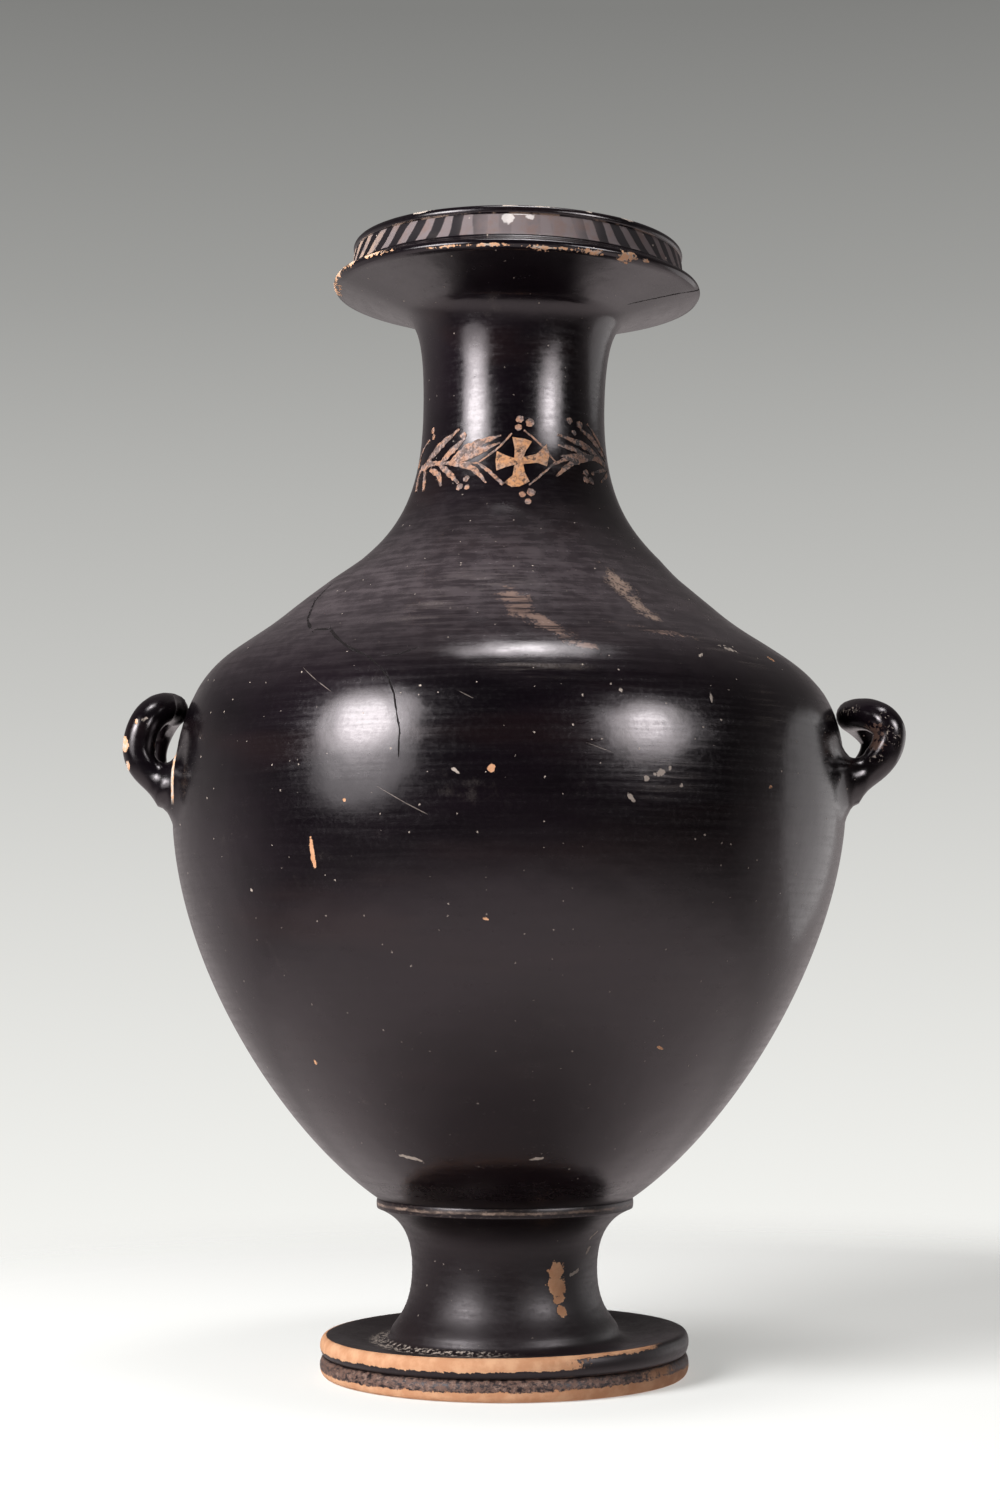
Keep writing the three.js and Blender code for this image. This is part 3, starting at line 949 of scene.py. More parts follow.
        # A lighter, streaked band over the upper shoulder and lower neck.
        if self.zone in (Zone.SHOULDER, Zone.NECK):
            high = g.within(self.z, *pattern.upper_pale, pattern.upper_pale_fade)
            worn = g.step(g.blend(0.4, fine, self.patch), 0.40, 0.62)
            upper_pale = g.math("MULTIPLY", high, g.blend(worn, *pattern.upper_pale_share))
            base = g.mix(upper_pale, base, glaze.clay.upper_pale)
        return g.mix(g.part(g.step(self.z, *pattern.brown_below), 0.35), base, glaze.brown)

    def gloss(self, fine: object, rubbed: object, reserve: object, matt: object) -> object:
        """Returns the roughness, duller where the gloss is rubbed, painted or gone."""
        g, glaze = self.graph, self.glaze
        bright, dull = (glaze.roughness + change for change in glaze.streak_change)
        rough = g.blend(g.step(fine, 0.35, 0.68), bright, dull)
        for mask, more in (
            (g.step(self.z, *self.patterns.dull_below), glaze.foot_dull),
            (g.step(self.grain, 0.46, 0.64), glaze.grain_dull),
            (rubbed, glaze.rubbed_dull),
            (reserve, glaze.band_dull),
        ):
            rough = g.math("ADD", rough, g.part(mask, more))
        return g.blend(matt, rough, glaze.clay.roughness)

    def relief(self, fine: object, broad: object, chips: object, cracks: object) -> object:
        """Returns the normal of brush marks, dents and grain, sunk at chips and cracks."""
        g, glaze = self.graph, self.glaze
        height = g.part(fine, glaze.streak_depth)
        for pattern, depth in (
            (broad, glaze.ridge_depth),
            (g.noise(g.place, self.patterns.sway_scale, 2), glaze.sway_depth),
            (self.grain, glaze.grain_depth),
            (self.patch, glaze.dent_depth),
            (chips, -glaze.chip_depth),
            (cracks, -glaze.crack_depth),
        ):
            height = g.math("ADD", height, g.part(pattern, depth))
        return g.bump(height)

    def build(self) -> bpy.types.Material:
        """Joins the zone's masks into its finished material."""
        g, glaze, clay, zone = self.graph, self.glaze, self.glaze.clay, self.zone
        radius_at = self.form.radius_at
        fine, broad = self.streaks()
        base = self.ground(fine, broad)
        reserve = eroded = lips = rim = foot = handles = junction = ridge = flecks = seat = 0.0
        if zone is Zone.MOUTH:
            base, reserve = self.band_colours(base)
            lips, rim = self.ring_marks(LIP_CHIPS, 1.3), self.ring_marks(RIM_CHIPS, 0.9)
        if zone is Zone.FOOT:
            foot, eroded = self.foot_masks()
            junction = self.stem_deposit()
        if zone is Zone.STEM:
            ridge, foot = self.ridge_mask(), self.hollow_mask()
        if zone is Zone.HANDLE:
            handles = self.front_marks(HANDLE_CHIPS, 0.45)
            base = g.mix(g.part(self.front_marks(HANDLE_WEAR, 0.8), 0.55), base, clay.worn)
            crumbled = self.front_marks(HANDLE_SPECKS, 0.5)
            flecks = g.math("MULTIPLY", crumbled, g.step(self.grain, 0.54, 0.64))
        if zone in (Zone.HANDLE, Zone.BODY, Zone.SHOULDER):
            seat = self.seat_line()
        deposit = self.patches(DEPOSITS, 0.35, 1.1)
        if zone is Zone.SHOULDER:
            streaks = self.patches(STREAKS, 0.4, 0.9)
            streaks = g.math("MULTIPLY", streaks, g.step(fine, 0.38, 0.58))
            base = g.mix(g.part(streaks, 0.70), base, clay.tan)
            deposit = g.math("MULTIPLY", deposit, g.step(self.grain, 0.36, 0.50))
        dust = self.patches(DUST, 0.9, 0.6)
        if zone in (Zone.BODY, Zone.SHOULDER):
            dust = g.math("MULTIPLY", dust, g.step(fine, 0.44, 0.66))
        dots, rubbed = self.specks()
        scratches = [mark for seam in SCRATCHES for mark in seam.marks(radius_at)]
        cracks = [mark for seam in CRACKS for mark in seam.marks(radius_at)]
        cracks = self.patches(cracks, 0.25, 0.55)
        bare = g.either(self.patches(CLAY_CHIPS, 0.06, 0.45), foot)
        crumbly = g.either(lips, handles, seat)
        pale = g.either(
            g.part(self.patches(PALE_CHIPS, 0.15, 0.95), 0.68),
            g.part(self.patches(scratches, 0.3, 0.5), 0.28),
            g.part(dots, 0.75),
            g.part(rim, 0.85),
            g.part(flecks, 0.6),
            g.part(dust, 0.07),
            g.part(junction, 0.65),
        )
        brown = g.mix(g.step(self.grain, 0.50, 0.64), clay.worn, clay.tan)
        base = g.mix(g.part(eroded, 0.9), base, brown)
        base = g.mix(g.part(rubbed, 0.035), base, clay.pale)
        base = g.mix(g.either(g.part(ridge, 0.6), g.part(deposit, 0.8)), base, clay.worn_pale)
        base = g.mix(pale, base, clay.pale)
        base = g.mix(bare, base, g.mix(g.step(self.patch, 0.35, 0.70), clay.orange, clay.light))
        base = g.mix(crumbly, base, g.mix(g.step(self.grain, 0.46, 0.58), clay.light, clay.pale))
        base = g.mix(g.part(cracks, 0.9), base, clay.dark)
        matt = g.either(bare, crumbly, pale, g.part(eroded, 0.8), g.part(reserve, 0.75), cracks)
        return g.finish(
            Base_Color=base,
            Roughness=self.gloss(fine, rubbed, reserve, matt),
            Normal=self.relief(fine, broad, g.either(bare, crumbly), cracks),
            IOR=glaze.index,
            Specular_Tint=(*glaze.sheen, 1.0),
            Specular_IOR_Level=g.blend(matt, glaze.shine, glaze.matt_shine),
        )


@dataclass(frozen=True)
class Slip:
    """The added clay of the painted ornament, rubbed thin in places."""

    name: str
    orange: Colour
    pale: Colour
    brown: Colour = (0.170, 0.090, 0.060)
    rubbed: Colour = (0.030, 0.018, 0.016)
    wear: float = 0.5
    wear_effect: float = 0.14
    faint_side: Pair = (0.006, 0.020)
    patch_scale: float = 230
    grain_scale: float = 800
    gap_scale: float = 420
    grain_depth: float = 0.00012
    roughness: float = 0.62

    def build(self) -> bpy.types.Material:
        """Returns the ornament's material."""
        g = Graph(bpy.data.materials.new(self.name))
        patch = g.noise(g.place, self.patch_scale, 4, 0.7)
        grain = g.noise(g.place, self.grain_scale, 4, 0.7)
        x = g.split(g.place)[0]
        base = g.mix(g.step(patch, 0.44, 0.58), self.orange, self.pale)
        base = g.mix(g.part(g.step(grain, 0.48, 0.58), 0.65), base, self.brown)
        right = g.blend(g.step(x, *self.faint_side), self.wear, 1.0)
        both = g.blend(0.55, grain, patch)
        less = self.wear_effect * self.wear
        spots = g.step(both, 0.58 - less, 0.62 - less)
        gaps = g.step(g.noise(g.place, self.gap_scale, 4, 0.7), 0.56, 0.61)
        lost = g.either(g.math("MULTIPLY", spots, right), g.part(gaps, 0.85))
        base = g.mix(lost, base, self.rubbed)
        normal = g.bump(g.math("MULTIPLY", grain, self.grain_depth))
        return g.finish(Base_Color=base, Roughness=self.roughness, Normal=normal)


@dataclass(frozen=True)
class Floor:
    """The pale studio floor, which fades out into the backdrop far behind the jar."""

    tone: Colour = (0.94, 0.94, 0.925)
    clear_share: float = 0.45
    middle: Place = (0.06, 0.08, 0.0)
    near: float = 0.16
    far: float = 0.62

    def build(self) -> bpy.types.Material:
        """Returns the floor's material."""
        g = Graph(bpy.data.materials.new("studio_floor"))
        reach = g.node(
            "ShaderNodeVectorMath", {0: g.place, 1: self.middle}, operation="DISTANCE"
        ).outputs["Value"]
        solid = g.node("ShaderNodeBsdfDiffuse", {"Color": (*self.tone, 1.0)}).outputs[0]
        clear = g.node("ShaderNodeBsdfTransparent", {}).outputs[0]
        share = g.math("MAXIMUM", g.step(reach, self.near, self.far), self.clear_share)
        mixed = g.node("ShaderNodeMixShader", {0: share, 1: solid, 2: clear}).outputs[0]
        g.node("ShaderNodeOutputMaterial", {0: mixed})
        return g.owner


# ------------------------------------------------------------------------ form


@dataclass
class Form:
    """The jar's named sizes in millimetres, and the lines that follow from them."""

    foot_radius: float = 74.1
    foot_lower_roll_height: float = 8.4
    foot_upper_roll_height: float = 8.1
    foot_roll_depth: float = 2.4
    foot_dish_depth: float = 2.8
    foot_tilt: float = 0.0134
    rest_ring_width: float = 13.0
    stem_base_radius: float = 46.4
    cove_width: float = 5.5
    cove_height: float = 3.2
    stem_waist_radius: float = 37.35
    stem_waist_rise: float = 25.5
    stem_flare_rise: float = 24.0
    stem_wall: float = 7.4
    collar_radius: float = 51.5
    collar_height: float = 4.0
    collar_bulge: float = 0.4
    body_rise: float = 160.0
    body_spread: float = 1.46
    belly_radius: float = 136.9
    shoulder_rise: float = 75.0
    shoulder_radius: float = 89.8
    shoulder_slope: float = 1.17
    wall: float = 5.8
    floor_thickness: float = 9.0
    neck_radius: float = 37.5
    neck_rise: float = 87.0
    neck_upper_height: float = 39.3
    neck_top_radius: float = 47.2
    lip_radius: float = 76.0
    lip_rise: float = 9.6
    lip_thickness: float = 4.0
    lip_ledge_rise: float = 1.9
    band_radius: float = 69.4
    band_height: float = 9.4
    rim_height: float = 3.33
    rim_radius: float = 68.2
    rim_groove_depth: float = 0.7
    rim_width: float = 4.8
    mouth_tilt: float = -0.0258
    foot_shift: float = -4.02
    tongue_count: int = 42
    lean: tuple[Pair, ...] = (
        (0, 0),
        (150, 0.8),
        (235, 2.1),
        (270, 2.3),
        (292, -0.4),
        (318, 0.2),
        (335, 3.1),
        (400, 4.2),
        (462, 5.9),
    )
    outline: list[Pair] = field(default_factory=list)

    def __post_init__(self) -> None:
        """Works out the heights of the jar's parts and its outline."""
        self.disc_top = self.foot_lower_roll_height + self.foot_upper_roll_height
        self.disc_edge = self.foot_radius - self.foot_roll_depth
        self.stem_base = self.disc_top - self.foot_dish_depth
        self.stem_waist = self.disc_top + self.stem_waist_rise
        self.collar = self.stem_waist + self.stem_flare_rise
        self.body_base = self.collar + self.collar_height
        self.belly = self.body_base + self.body_rise
        self.shoulder = self.belly + self.shoulder_rise
        self.neck = self.shoulder + self.neck_rise
        self.neck_top = self.neck + self.neck_upper_height
        self.lip = self.neck_top + self.lip_rise
        self.lip_top = self.lip + self.lip_thickness
        self.band_foot = self.lip_top + self.lip_ledge_rise
        self.band_top = self.band_foot + self.band_height
        self.rim = self.band_top + self.rim_height
        self.hollow_top = self.collar - 0.5
        self.band = (self.band_foot, self.band_top)
        self.lean_run = sorted(
            (height, shift) for height, shift in smooth_run(list(self.lean), 24)
        )
        self.outline = self.outside()

    def lean_at(self, height: float) -> float:
        """Returns how far the axis stands to the right of the jar's middle, at a height."""
        run = self.lean_run
        height = min(max(height, run[0][0]), run[-1][0])
        for (z0, x0), (z1, x1) in zip(run, run[1:]):
            if z0 <= height <= z1:
                return self.foot_shift + x0 + (x1 - x0) * (height - z0) / max(z1 - z0, 1e-9)
        return self.foot_shift + run[-1][1]

    def tilt_at(self, height: float) -> float:
        """Returns how much the level rises for each millimetre to the right, at a height."""
        foot = eased(height, 0, self.disc_top) - eased(height, self.disc_top, self.stem_waist)
        return self.foot_tilt * foot + self.mouth_tilt * eased(height, self.neck, self.lip)

    def radius_at(self, height: float) -> float:
        """Returns the largest radius of the outside at a height."""
        best = 0.0
        for (r0, z0), (r1, z1) in zip(self.outline, self.outline[1:]):
            if min(z0, z1) <= height <= max(z0, z1):
                share = (height - z0) / (z1 - z0) if z1 != z0 else 0.0
                best = max(best, r0 + (r1 - r0) * share)
        return best or self.neck_radius

    def wall_line(self, steps: int) -> list[Pair]:
        """Returns the wall from the collar over belly and shoulder to the waist of the neck."""
        belly = (self.belly_radius, self.belly)
        shoulder = (self.shoulder_radius, self.shoulder)
        body = stretch(
            (self.collar_radius, self.body_base),
            heading(self.body_spread, 0.305 * self.body_rise),
            (0, 0.382 * self.body_rise),
            belly,
            2 * steps,
        )
        over = stretch(
            belly,
            (0, 0.73 * self.shoulder_rise),
            heading(-self.shoulder_slope, 0.42 * self.shoulder_rise),
            shoulder,
            steps,
        )
        neck = stretch(
            shoulder,
            heading(-self.shoulder_slope, 0.474 * self.neck_rise),
            (0, 0.596 * self.neck_rise),
            (self.neck_radius, self.neck),
            steps,
        )
        return [*body, *over[1:], *neck[1:]]

    def foot_line(self) -> list[Pair]:
        """Returns the outside of the foot and stem, from the resting face to the collar."""
        rolls = [
            *roll(self.disc_edge, 0, self.foot_lower_roll_height, self.foot_roll_depth, 12),
            *roll(
                self.disc_edge,
                self.foot_lower_roll_height,
                self.disc_top,
                self.foot_roll_depth,
                12,
            )[1:],
        ]
        dish = stretch(
            (self.disc_edge, self.disc_top),
            (-3.5, 0.1),
            (-6.0, -0.1),
            (self.stem_base_radius + self.cove_width, self.stem_base + 0.1),
            10,
        )
        cove_top = (self.stem_base_radius - 0.4, self.stem_base + self.cove_height)
        cove = stretch(dish[-1], (-2.5, 0.0), (-0.35, 2.2), cove_top, 6)
        stem = stretch(
            cove[-1],
            (-0.5, 0.18 * self.stem_waist_rise),
            (0, 0.72 * self.stem_waist_rise),
            (self.stem_waist_radius, self.stem_waist),
            14,
        )
        flare = stretch(
            (self.stem_waist_radius, self.stem_waist),
            (0, 0.83 * self.stem_flare_rise),
            (1.7, 1.3),
            (self.collar_radius - 0.5, self.collar),
            16,
        )
        collar = roll(self.collar_radius, self.collar, self.body_base, self.collar_bulge, 8)
        return [*rolls, *dish[1:], *cove[1:], *stem[1:], *flare[1:], *collar[1:-1]]

    def mouth_line(self) -> list[Pair]:
        """Returns the outside of the upper neck, lip, band and rim."""
        top = stretch(
            (self.neck_radius, self.neck),
            (0, 0.76 * self.neck_upper_height),
            heading(2.5, 0.155 * self.neck_upper_height),
            (self.neck_top_radius, self.neck_top),
            18,
        )
        under = stretch(
            top[-1],
            heading(2.5, 6.0),
            heading(3.3, 9.0),
            (self.lip_radius - 0.9, self.lip - 0.3),
            12,
        )
        edge = smooth_run(
            [
                under[-1],
                (self.lip_radius, self.lip + 0.35 * self.lip_thickness),
                (self.lip_radius - 0.8, self.lip + 0.8 * self.lip_thickness),
                (self.lip_radius - 2.8, self.lip_top),
            ],
            4,
        )
        ledge = smooth_run(
            [
                edge[-1],
                (self.band_radius + 1.6, self.band_foot - 0.9),
                (self.band_radius + 0.3, self.band_foot),
            ],
            3,
        )
        band = smooth_run(
            [
                ledge[-1],
                (self.band_radius - 0.5, self.band_foot + 0.25 * self.band_height),
                (self.rim_radius - 0.2, self.band_top - 0.1 * self.band_height),
                (self.rim_radius - self.rim_groove_depth, self.band_top),
            ],
            4,
        )
        rim = smooth_run(
            [
                band[-1],
                (self.rim_radius, self.band_top + 0.25 * self.rim_height),
                (self.rim_radius, self.band_top + 0.65 * self.rim_height),
                (self.rim_radius - 1, self.rim),
                (self.rim_radius - self.rim_width + 1, self.rim),
            ],
            4,
        )
        return [*top[1:], *under[1:], *edge[1:], *ledge[1:], *band[1:], *rim[1:]]

    def outside(self) -> list[Pair]:
        """Returns the whole outside line, from the resting face to the top of the rim."""
        return [*self.foot_line(), *self.wall_line(30), *self.mouth_line()]

    def inside(self) -> list[Pair]:
        """Returns the inside line, from the rim down to the middle of the jar's floor."""
        low = self.body_base + self.floor_thickness
        wall = [p for p in inset(self.wall_line(12), self.wall) if p[1] > low]
        rim_inside = self.rim_radius - self.rim_width
        dish = stretch(
            (self.neck_radius - self.wall + 1.5, self.neck + 0.7 * self.neck_upper_height),
            (1.5, 0.35 * self.neck_upper_height),
            (2, self.band_height),
            (rim_inside - 1, self.band_top),
            16,
        )
        bottom = self.hollow_top + self.floor_thickness
        floor = [(share * self.collar_radius, bottom) for share in (0.0, 0.3, 0.55)]
        return list(reversed([*floor, *wall, *dish, (rim_inside, self.rim - 0.4)]))

    def under(self) -> list[Pair]:
        """Returns the hollow under the foot, from the top of its dome to the resting face."""
        bore = self.stem_waist_radius - self.stem_wall
        mouth = self.disc_edge - self.rest_ring_width
        sides = stretch(
            (mouth, 0),
            (-0.3 * (mouth - bore), 0.1 * self.stem_waist),
            (0, 0.6 * self.stem_waist),
            (bore, self.stem_waist),
            12,
        )
        dome = stretch(
            (bore, self.hollow_top - 0.3 * bore),
            (0, 0.16 * bore),
            (-0.5 * bore, 0.02 * bore),
            (0, self.hollow_top),
            8,
        )
        return list(reversed([*sides, *dome]))

    def section(self) -> list[Pair]:
        """Returns the whole section of the jar as one line from axis to axis."""
        return [*self.under(), *self.outline, *self.inside()]


@dataclass
class Jar:
    """The thrown jar: foot, body, neck and mouth, before the handles are set on."""

    form: Form
    sides: int = 224
    cage_layers: int = 62
    cage_step: float = 0.008
    cage_width: float = 0.32

    def build(self) -> bpy.types.Object:
        """Spins the section and lets it lean and tilt as the fired clay does."""
        jar = spun("hydria_glazed", self.form.section(), self.sides)
        self.settle(jar)
        return jar

    def settle(self, piece: bpy.types.Object) -> None:
        """Leans and tilts an upright piece inside a cage whose layers are moved one by one."""
        deselect()
        height, reach = (self.cage_layers - 1) * self.cage_step, self.cage_width
        bpy.ops.object.add(type="LATTICE", location=(0, 0, height / 2 - self.cage_step))
        cage = named("lean_cage")
        cage.scale = (reach, reach, height)
        cage.data.points_u = cage.data.points_v = 2
        cage.data.points_w = self.cage_layers
        for axis in ("u", "v", "w"):
            setattr(cage.data, f"interpolation_type_{axis}", "KEY_LINEAR")
        for corner in cage.data.points:
            level = ((corner.co.z + 0.5) * height - self.cage_step) / MM
            across = corner.co.x * reach / MM
            corner.co_deform.x += self.form.lean_at(level) * MM / reach
            corner.co_deform.z += self.form.tilt_at(level) * across * MM / height
        bpy.context.view_layer.update()
        apply_modifier(piece, "LATTICE", object=cage)
        bpy.data.objects.remove(cage, do_unlink=True)


@dataclass(frozen=True)
class LoopSizes:
    """Heights and reach in millimetres of one side handle."""

    side: int
    root: float
    outer: float
    top: float
    reach: float
    curl: float


@dataclass
class Handles:
    """The two looped side handles and the upright handle behind the neck."""

    form: Form
    thickness: float = 13.0
    span: float = 50.0
    root_thickness: float = 30.0
    root_length: float = 6.0
    root_depth: float = 11.0
    turn: float = 2.3
    back_width: float = 20.0
    back_thickness: float = 13.0
    back_root_thickness: float = 19.0
    back_path: tuple[Pair, ...] = (
        (32.9, 400.3),
        (61.0, 399.3),
        (80.5, 381.0),
        (84.5, 353.0),
        (83.5, 313.7),
        (81.5, 298.0),
    )
    hook_share: float = 0.45
    hook_ease: float = 1.35
    steps: int = 96
    loops: tuple[LoopSizes, ...] = (
        LoopSizes(-1, 234.3, 249.8, 267.3, 13.3, 11.0),
        LoopSizes(1, 236.0, 255.4, 264.8, 17.6, 12.4),
    )

    def build(self) -> list[bpy.types.Object]:
        """Returns the three handles, their roots sunk into the jar's wall."""
        made = [self.loop(sizes) for sizes in self.loops]
        made.append(self.upright())
        trim = spun("root_trim", self.core(), 96)
        Jar(self.form).settle(trim)
        for handle in made:
            apply_modifier(handle, "BOOLEAN", operation="DIFFERENCE", object=trim, solver="EXACT")
        bpy.data.objects.remove(trim, do_unlink=True)
        return made

    def core(self) -> list[Pair]:
        """Returns a solid that fills the jar up to the middle of its wall."""
        line = inset(self.form.wall_line(20), self.form.wall / 2)
        top = self.form.neck_top
        return [(0.0, line[0][1]), *line, (self.form.neck_radius - 3, top), (0.0, top)]

    def tube(self, name: str, path: list[Vector], radii: list[float]) -> bpy.types.Object:
        """Sweeps a round section along a path.

        Args:
            name: Name of the new piece.
            path: Points in millimetres.
            radii: Radius in millimetres at each point.

        Returns:
            The closed mesh.
        """
        deselect()
        bpy.ops.curve.primitive_nurbs_path_add(location=(0, 0, 0))
        made = named(name)
        curve = made.data
        curve.splines.clear()
        spline = curve.splines.new("POLY")
        spline.points.add(len(path) - 1)
        for point, place, radius in zip(spline.points, path, radii):
            point.co = (*(place * MM), 1.0)
            point.radius = radius
        curve.bevel_depth = MM
        curve.bevel_resolution = 8
        curve.use_fill_caps = True
        curve.twist_mode = "MINIMUM"
        pick(made)
        bpy.ops.object.convert(target="MESH")
        made = bpy.context.object
        settle_normals(made, 0.01)
        return made

    def loop(self, sizes: LoopSizes) -> bpy.types.Object:
        """Returns one side handle, which hooks up and outward from its two roots."""
        at_wall = self.form.radius_at(sizes.outer)
        middle = self.form.lean_at(sizes.outer)
        angle = -sizes.side * math.radians(self.turn)
        outer_gap, top_gap = sizes.outer - sizes.root, sizes.top - sizes.outer
        low = (
            (-self.root_depth, sizes.root),
            (0.5 * sizes.reach, sizes.root),
            (sizes.reach, sizes.outer - 0.45 * outer_gap),
            (sizes.reach, sizes.outer),
        )
        high = (
            (sizes.reach, sizes.outer),
            (sizes.reach, sizes.outer + 0.45 * top_gap),
            (sizes.reach - 0.5 * sizes.curl, sizes.top),
            (sizes.reach - sizes.curl, sizes.top),
        )
        path = []
        for index in range(self.steps + 1):
            s = 2 * index / self.steps - 1
            share = abs(s) ** self.hook_ease
            if share > self.hook_share:
                off, height = bezier(low, (1 - share) / (1 - self.hook_share))
            else:
                off, height = bezier(high, 1 - share / self.hook_share)
            bend = math.sin(math.pi / 2 * min(1.0, abs(s) / self.hook_share))
            depth = math.copysign(bend * self.span / 2, s)
            out = sizes.side * (at_wall + off)
            x = out * math.cos(angle) - depth * math.sin(angle)
            y = out * math.sin(angle) + depth * math.cos(angle)
            path.append(Vector((x + middle, y, height)))
        radii = self.swell(path, self.thickness, self.root_thickness)
        return self.tube(f"side_handle_{sizes.side + 1}", path, radii)

    def swell(self, path: list[Vector], thin: float, thick: float) -> list[float]:
        """Returns the radius at each point of a path, which grows towards both roots."""
        lengths = [0.0]
        for before, after in zip(path, path[1:]):
            lengths.append(lengths[-1] + (after - before).length)
        radii = []
        for length in lengths:
            gap = min(length, lengths[-1] - length)
            clear = max(0.0, gap - self.root_depth + 0.5 * self.form.wall)
            radii.append((thin + (thick - thin) * math.exp(-((clear / self.root_length) ** 2))) / 2)
        return radii

    def upright(self) -> bpy.types.Object:
        """Returns the handle that rises from the shoulder and bends in to the neck."""
        run = smooth_run(list(self.back_path), 16)
        middle = self.form.lean_at(self.back_path[0][1])
        path = [Vector((middle, radius, height)) for radius, height in run]
        made = self.tube(
            "back_handle", path, self.swell(path, self.back_thickness, self.back_root_thickness)
        )
        pick(made)
        bpy.ops.object.mode_set(mode="EDIT")
        bpy.ops.mesh.select_all(action="SELECT")
        bpy.context.scene.tool_settings.transform_pivot_point = "MEDIAN_POINT"
        bpy.ops.transform.resize(
            value=(self.back_width / self.back_thickness, 1, 1),
            center_override=(middle * MM, 0, 0),
        )
        bpy.ops.object.mode_set(mode="OBJECT")
        return made


@dataclass
class Hydria:
    """The whole jar as one fired piece, with its handles luted on and smoothed."""

    form: Form
    glaze: Glaze = field(default_factory=Glaze)
    fillet: float = 7.5
    fillet_passes: int = 18
    clear: float = 11.0
    seat_gap: float = 2.2
    handle_gap: float = 1.5
    handle_start: float = 20.0

    def build(self) -> bpy.types.Object:
        """Joins jar and handles, smooths the joints and dresses the piece."""
        jar = Jar(self.form).build()
        for handle in Handles(self.form).build():
            seats = self.seats(handle)
            apply_modifier(jar, "BOOLEAN", operation="UNION", object=handle, solver="EXACT")
            bpy.data.objects.remove(handle, do_unlink=True)
            self.smooth(jar, seats)
        settle_normals(jar, 0.01)
        shade(jar, 50)
        jar.data.materials.clear()
        for zone in Zone:
            jar.data.materials.append(GlazeFinish(self.glaze, self.form, zone).build())
        self.share_out(jar)
        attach(jar, BODY)
        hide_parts(NODE)
        return jar

    def share_out(self, jar: bpy.types.Object) -> None:
        """Gives each face of the jar the material of its zone."""
        zones = list(Zone)
        for face in jar.data.polygons:
            height, off = face.center.z / MM, self.off_wall(face.center)
            low = self.form.body_base + self.handle_start
            if off > self.handle_gap and low < height < self.form.neck_top:
                zone = Zone.HANDLE
            elif off < -self.form.wall / 2 and height > self.form.body_base:
                zone = Zone.INSIDE
            else:
                zone = next((z for z in zones if z.value[0] <= height < z.value[1]), Zone.BODY)
            face.material_index = zones.index(zone)

    def off_wall(self, place: Vector) -> float:
        """Returns how far in millimetres a point lies outside the jar's turned wall."""
        height = place.z / MM
        x = place.x / MM - self.form.lean_at(height)
        return math.hypot(x, place.y / MM) - self.form.radius_at(height)

    def seats(self, handle: bpy.types.Object) -> list[Vector]:
        """Returns the handle's points that lie close to the wall, where its joint will run."""
        points = [v.co.copy() for v in handle.data.vertices]
        return [
            point
            for point in points
            if abs(self.off_wall(point)) < self.seat_gap and abs(point.y) > self.clear * MM
        ]

    def smooth(self, jar: bpy.types.Object, seats: list[Vector]) -> None:
        """Smooths the jar's surface along the joint with a handle."""
        tree = KDTree(len(seats))
        for index, seat in enumerate(seats):
            tree.insert(seat, index)
        tree.balance()
        pick(jar)
        bpy.ops.object.mode_set(mode="EDIT")
        bpy.ops.mesh.select_mode(type="VERT")
        bpy.ops.mesh.select_all(action="DESELECT")
        bpy.ops.object.mode_set(mode="OBJECT")
        for vertex in jar.data.vertices:
            near = tree.find(vertex.co)[2] < self.fillet * MM
            vertex.select = near and self.off_wall(vertex.co) > -self.form.wall / 3
        bpy.ops.object.mode_set(mode="EDIT")
        bpy.ops.mesh.vertices_smooth(factor=0.5, repeat=self.fillet_passes)
        bpy.ops.object.mode_set(mode="OBJECT")


# -------------------------------------------------------------------- ornament


@dataclass(frozen=True)
class Stroke:
    """One painted stroke: its places, and the widths of its start, middle and end."""

    places: tuple[Pair, ...]
    widths: tuple[float, float, float]


CROSS_ARMS = (
    ((0.2, 365.0), (5.4, 365.0), (5.5, 361.8), (0.2, 361.8)),
    (
        (-0.8, 373.6), (2.7, 373.2), (6.0, 373.0), (10.8, 371.9),
        (6.9, 367.6), (5.2, 364.6), (0.4, 364.6), (0.6, 368.6),
    ),
    (
        (-9.8, 367.9), (-10.2, 363.6), (-9.4, 359.6), (-4.7, 360.9),
        (0.4, 361.9), (0.4, 364.8), (-4.5, 366.0),
    ),
    (
        (19.6, 371.0), (21.2, 366.8), (18.9, 361.8), (13.3, 363.1),
        (5.0, 362.2), (5.2, 365.2), (13.0, 366.7),
    ),
    (
        (-4.9, 354.4), (-0.7, 352.4), (3.5, 352.8), (8.6, 354.9),
        (6.3, 358.6), (5.4, 362.6), (0.6, 362.4), (-0.4, 357.6),
    ),
)
FINE = (0.55, 0.7, 0.5)
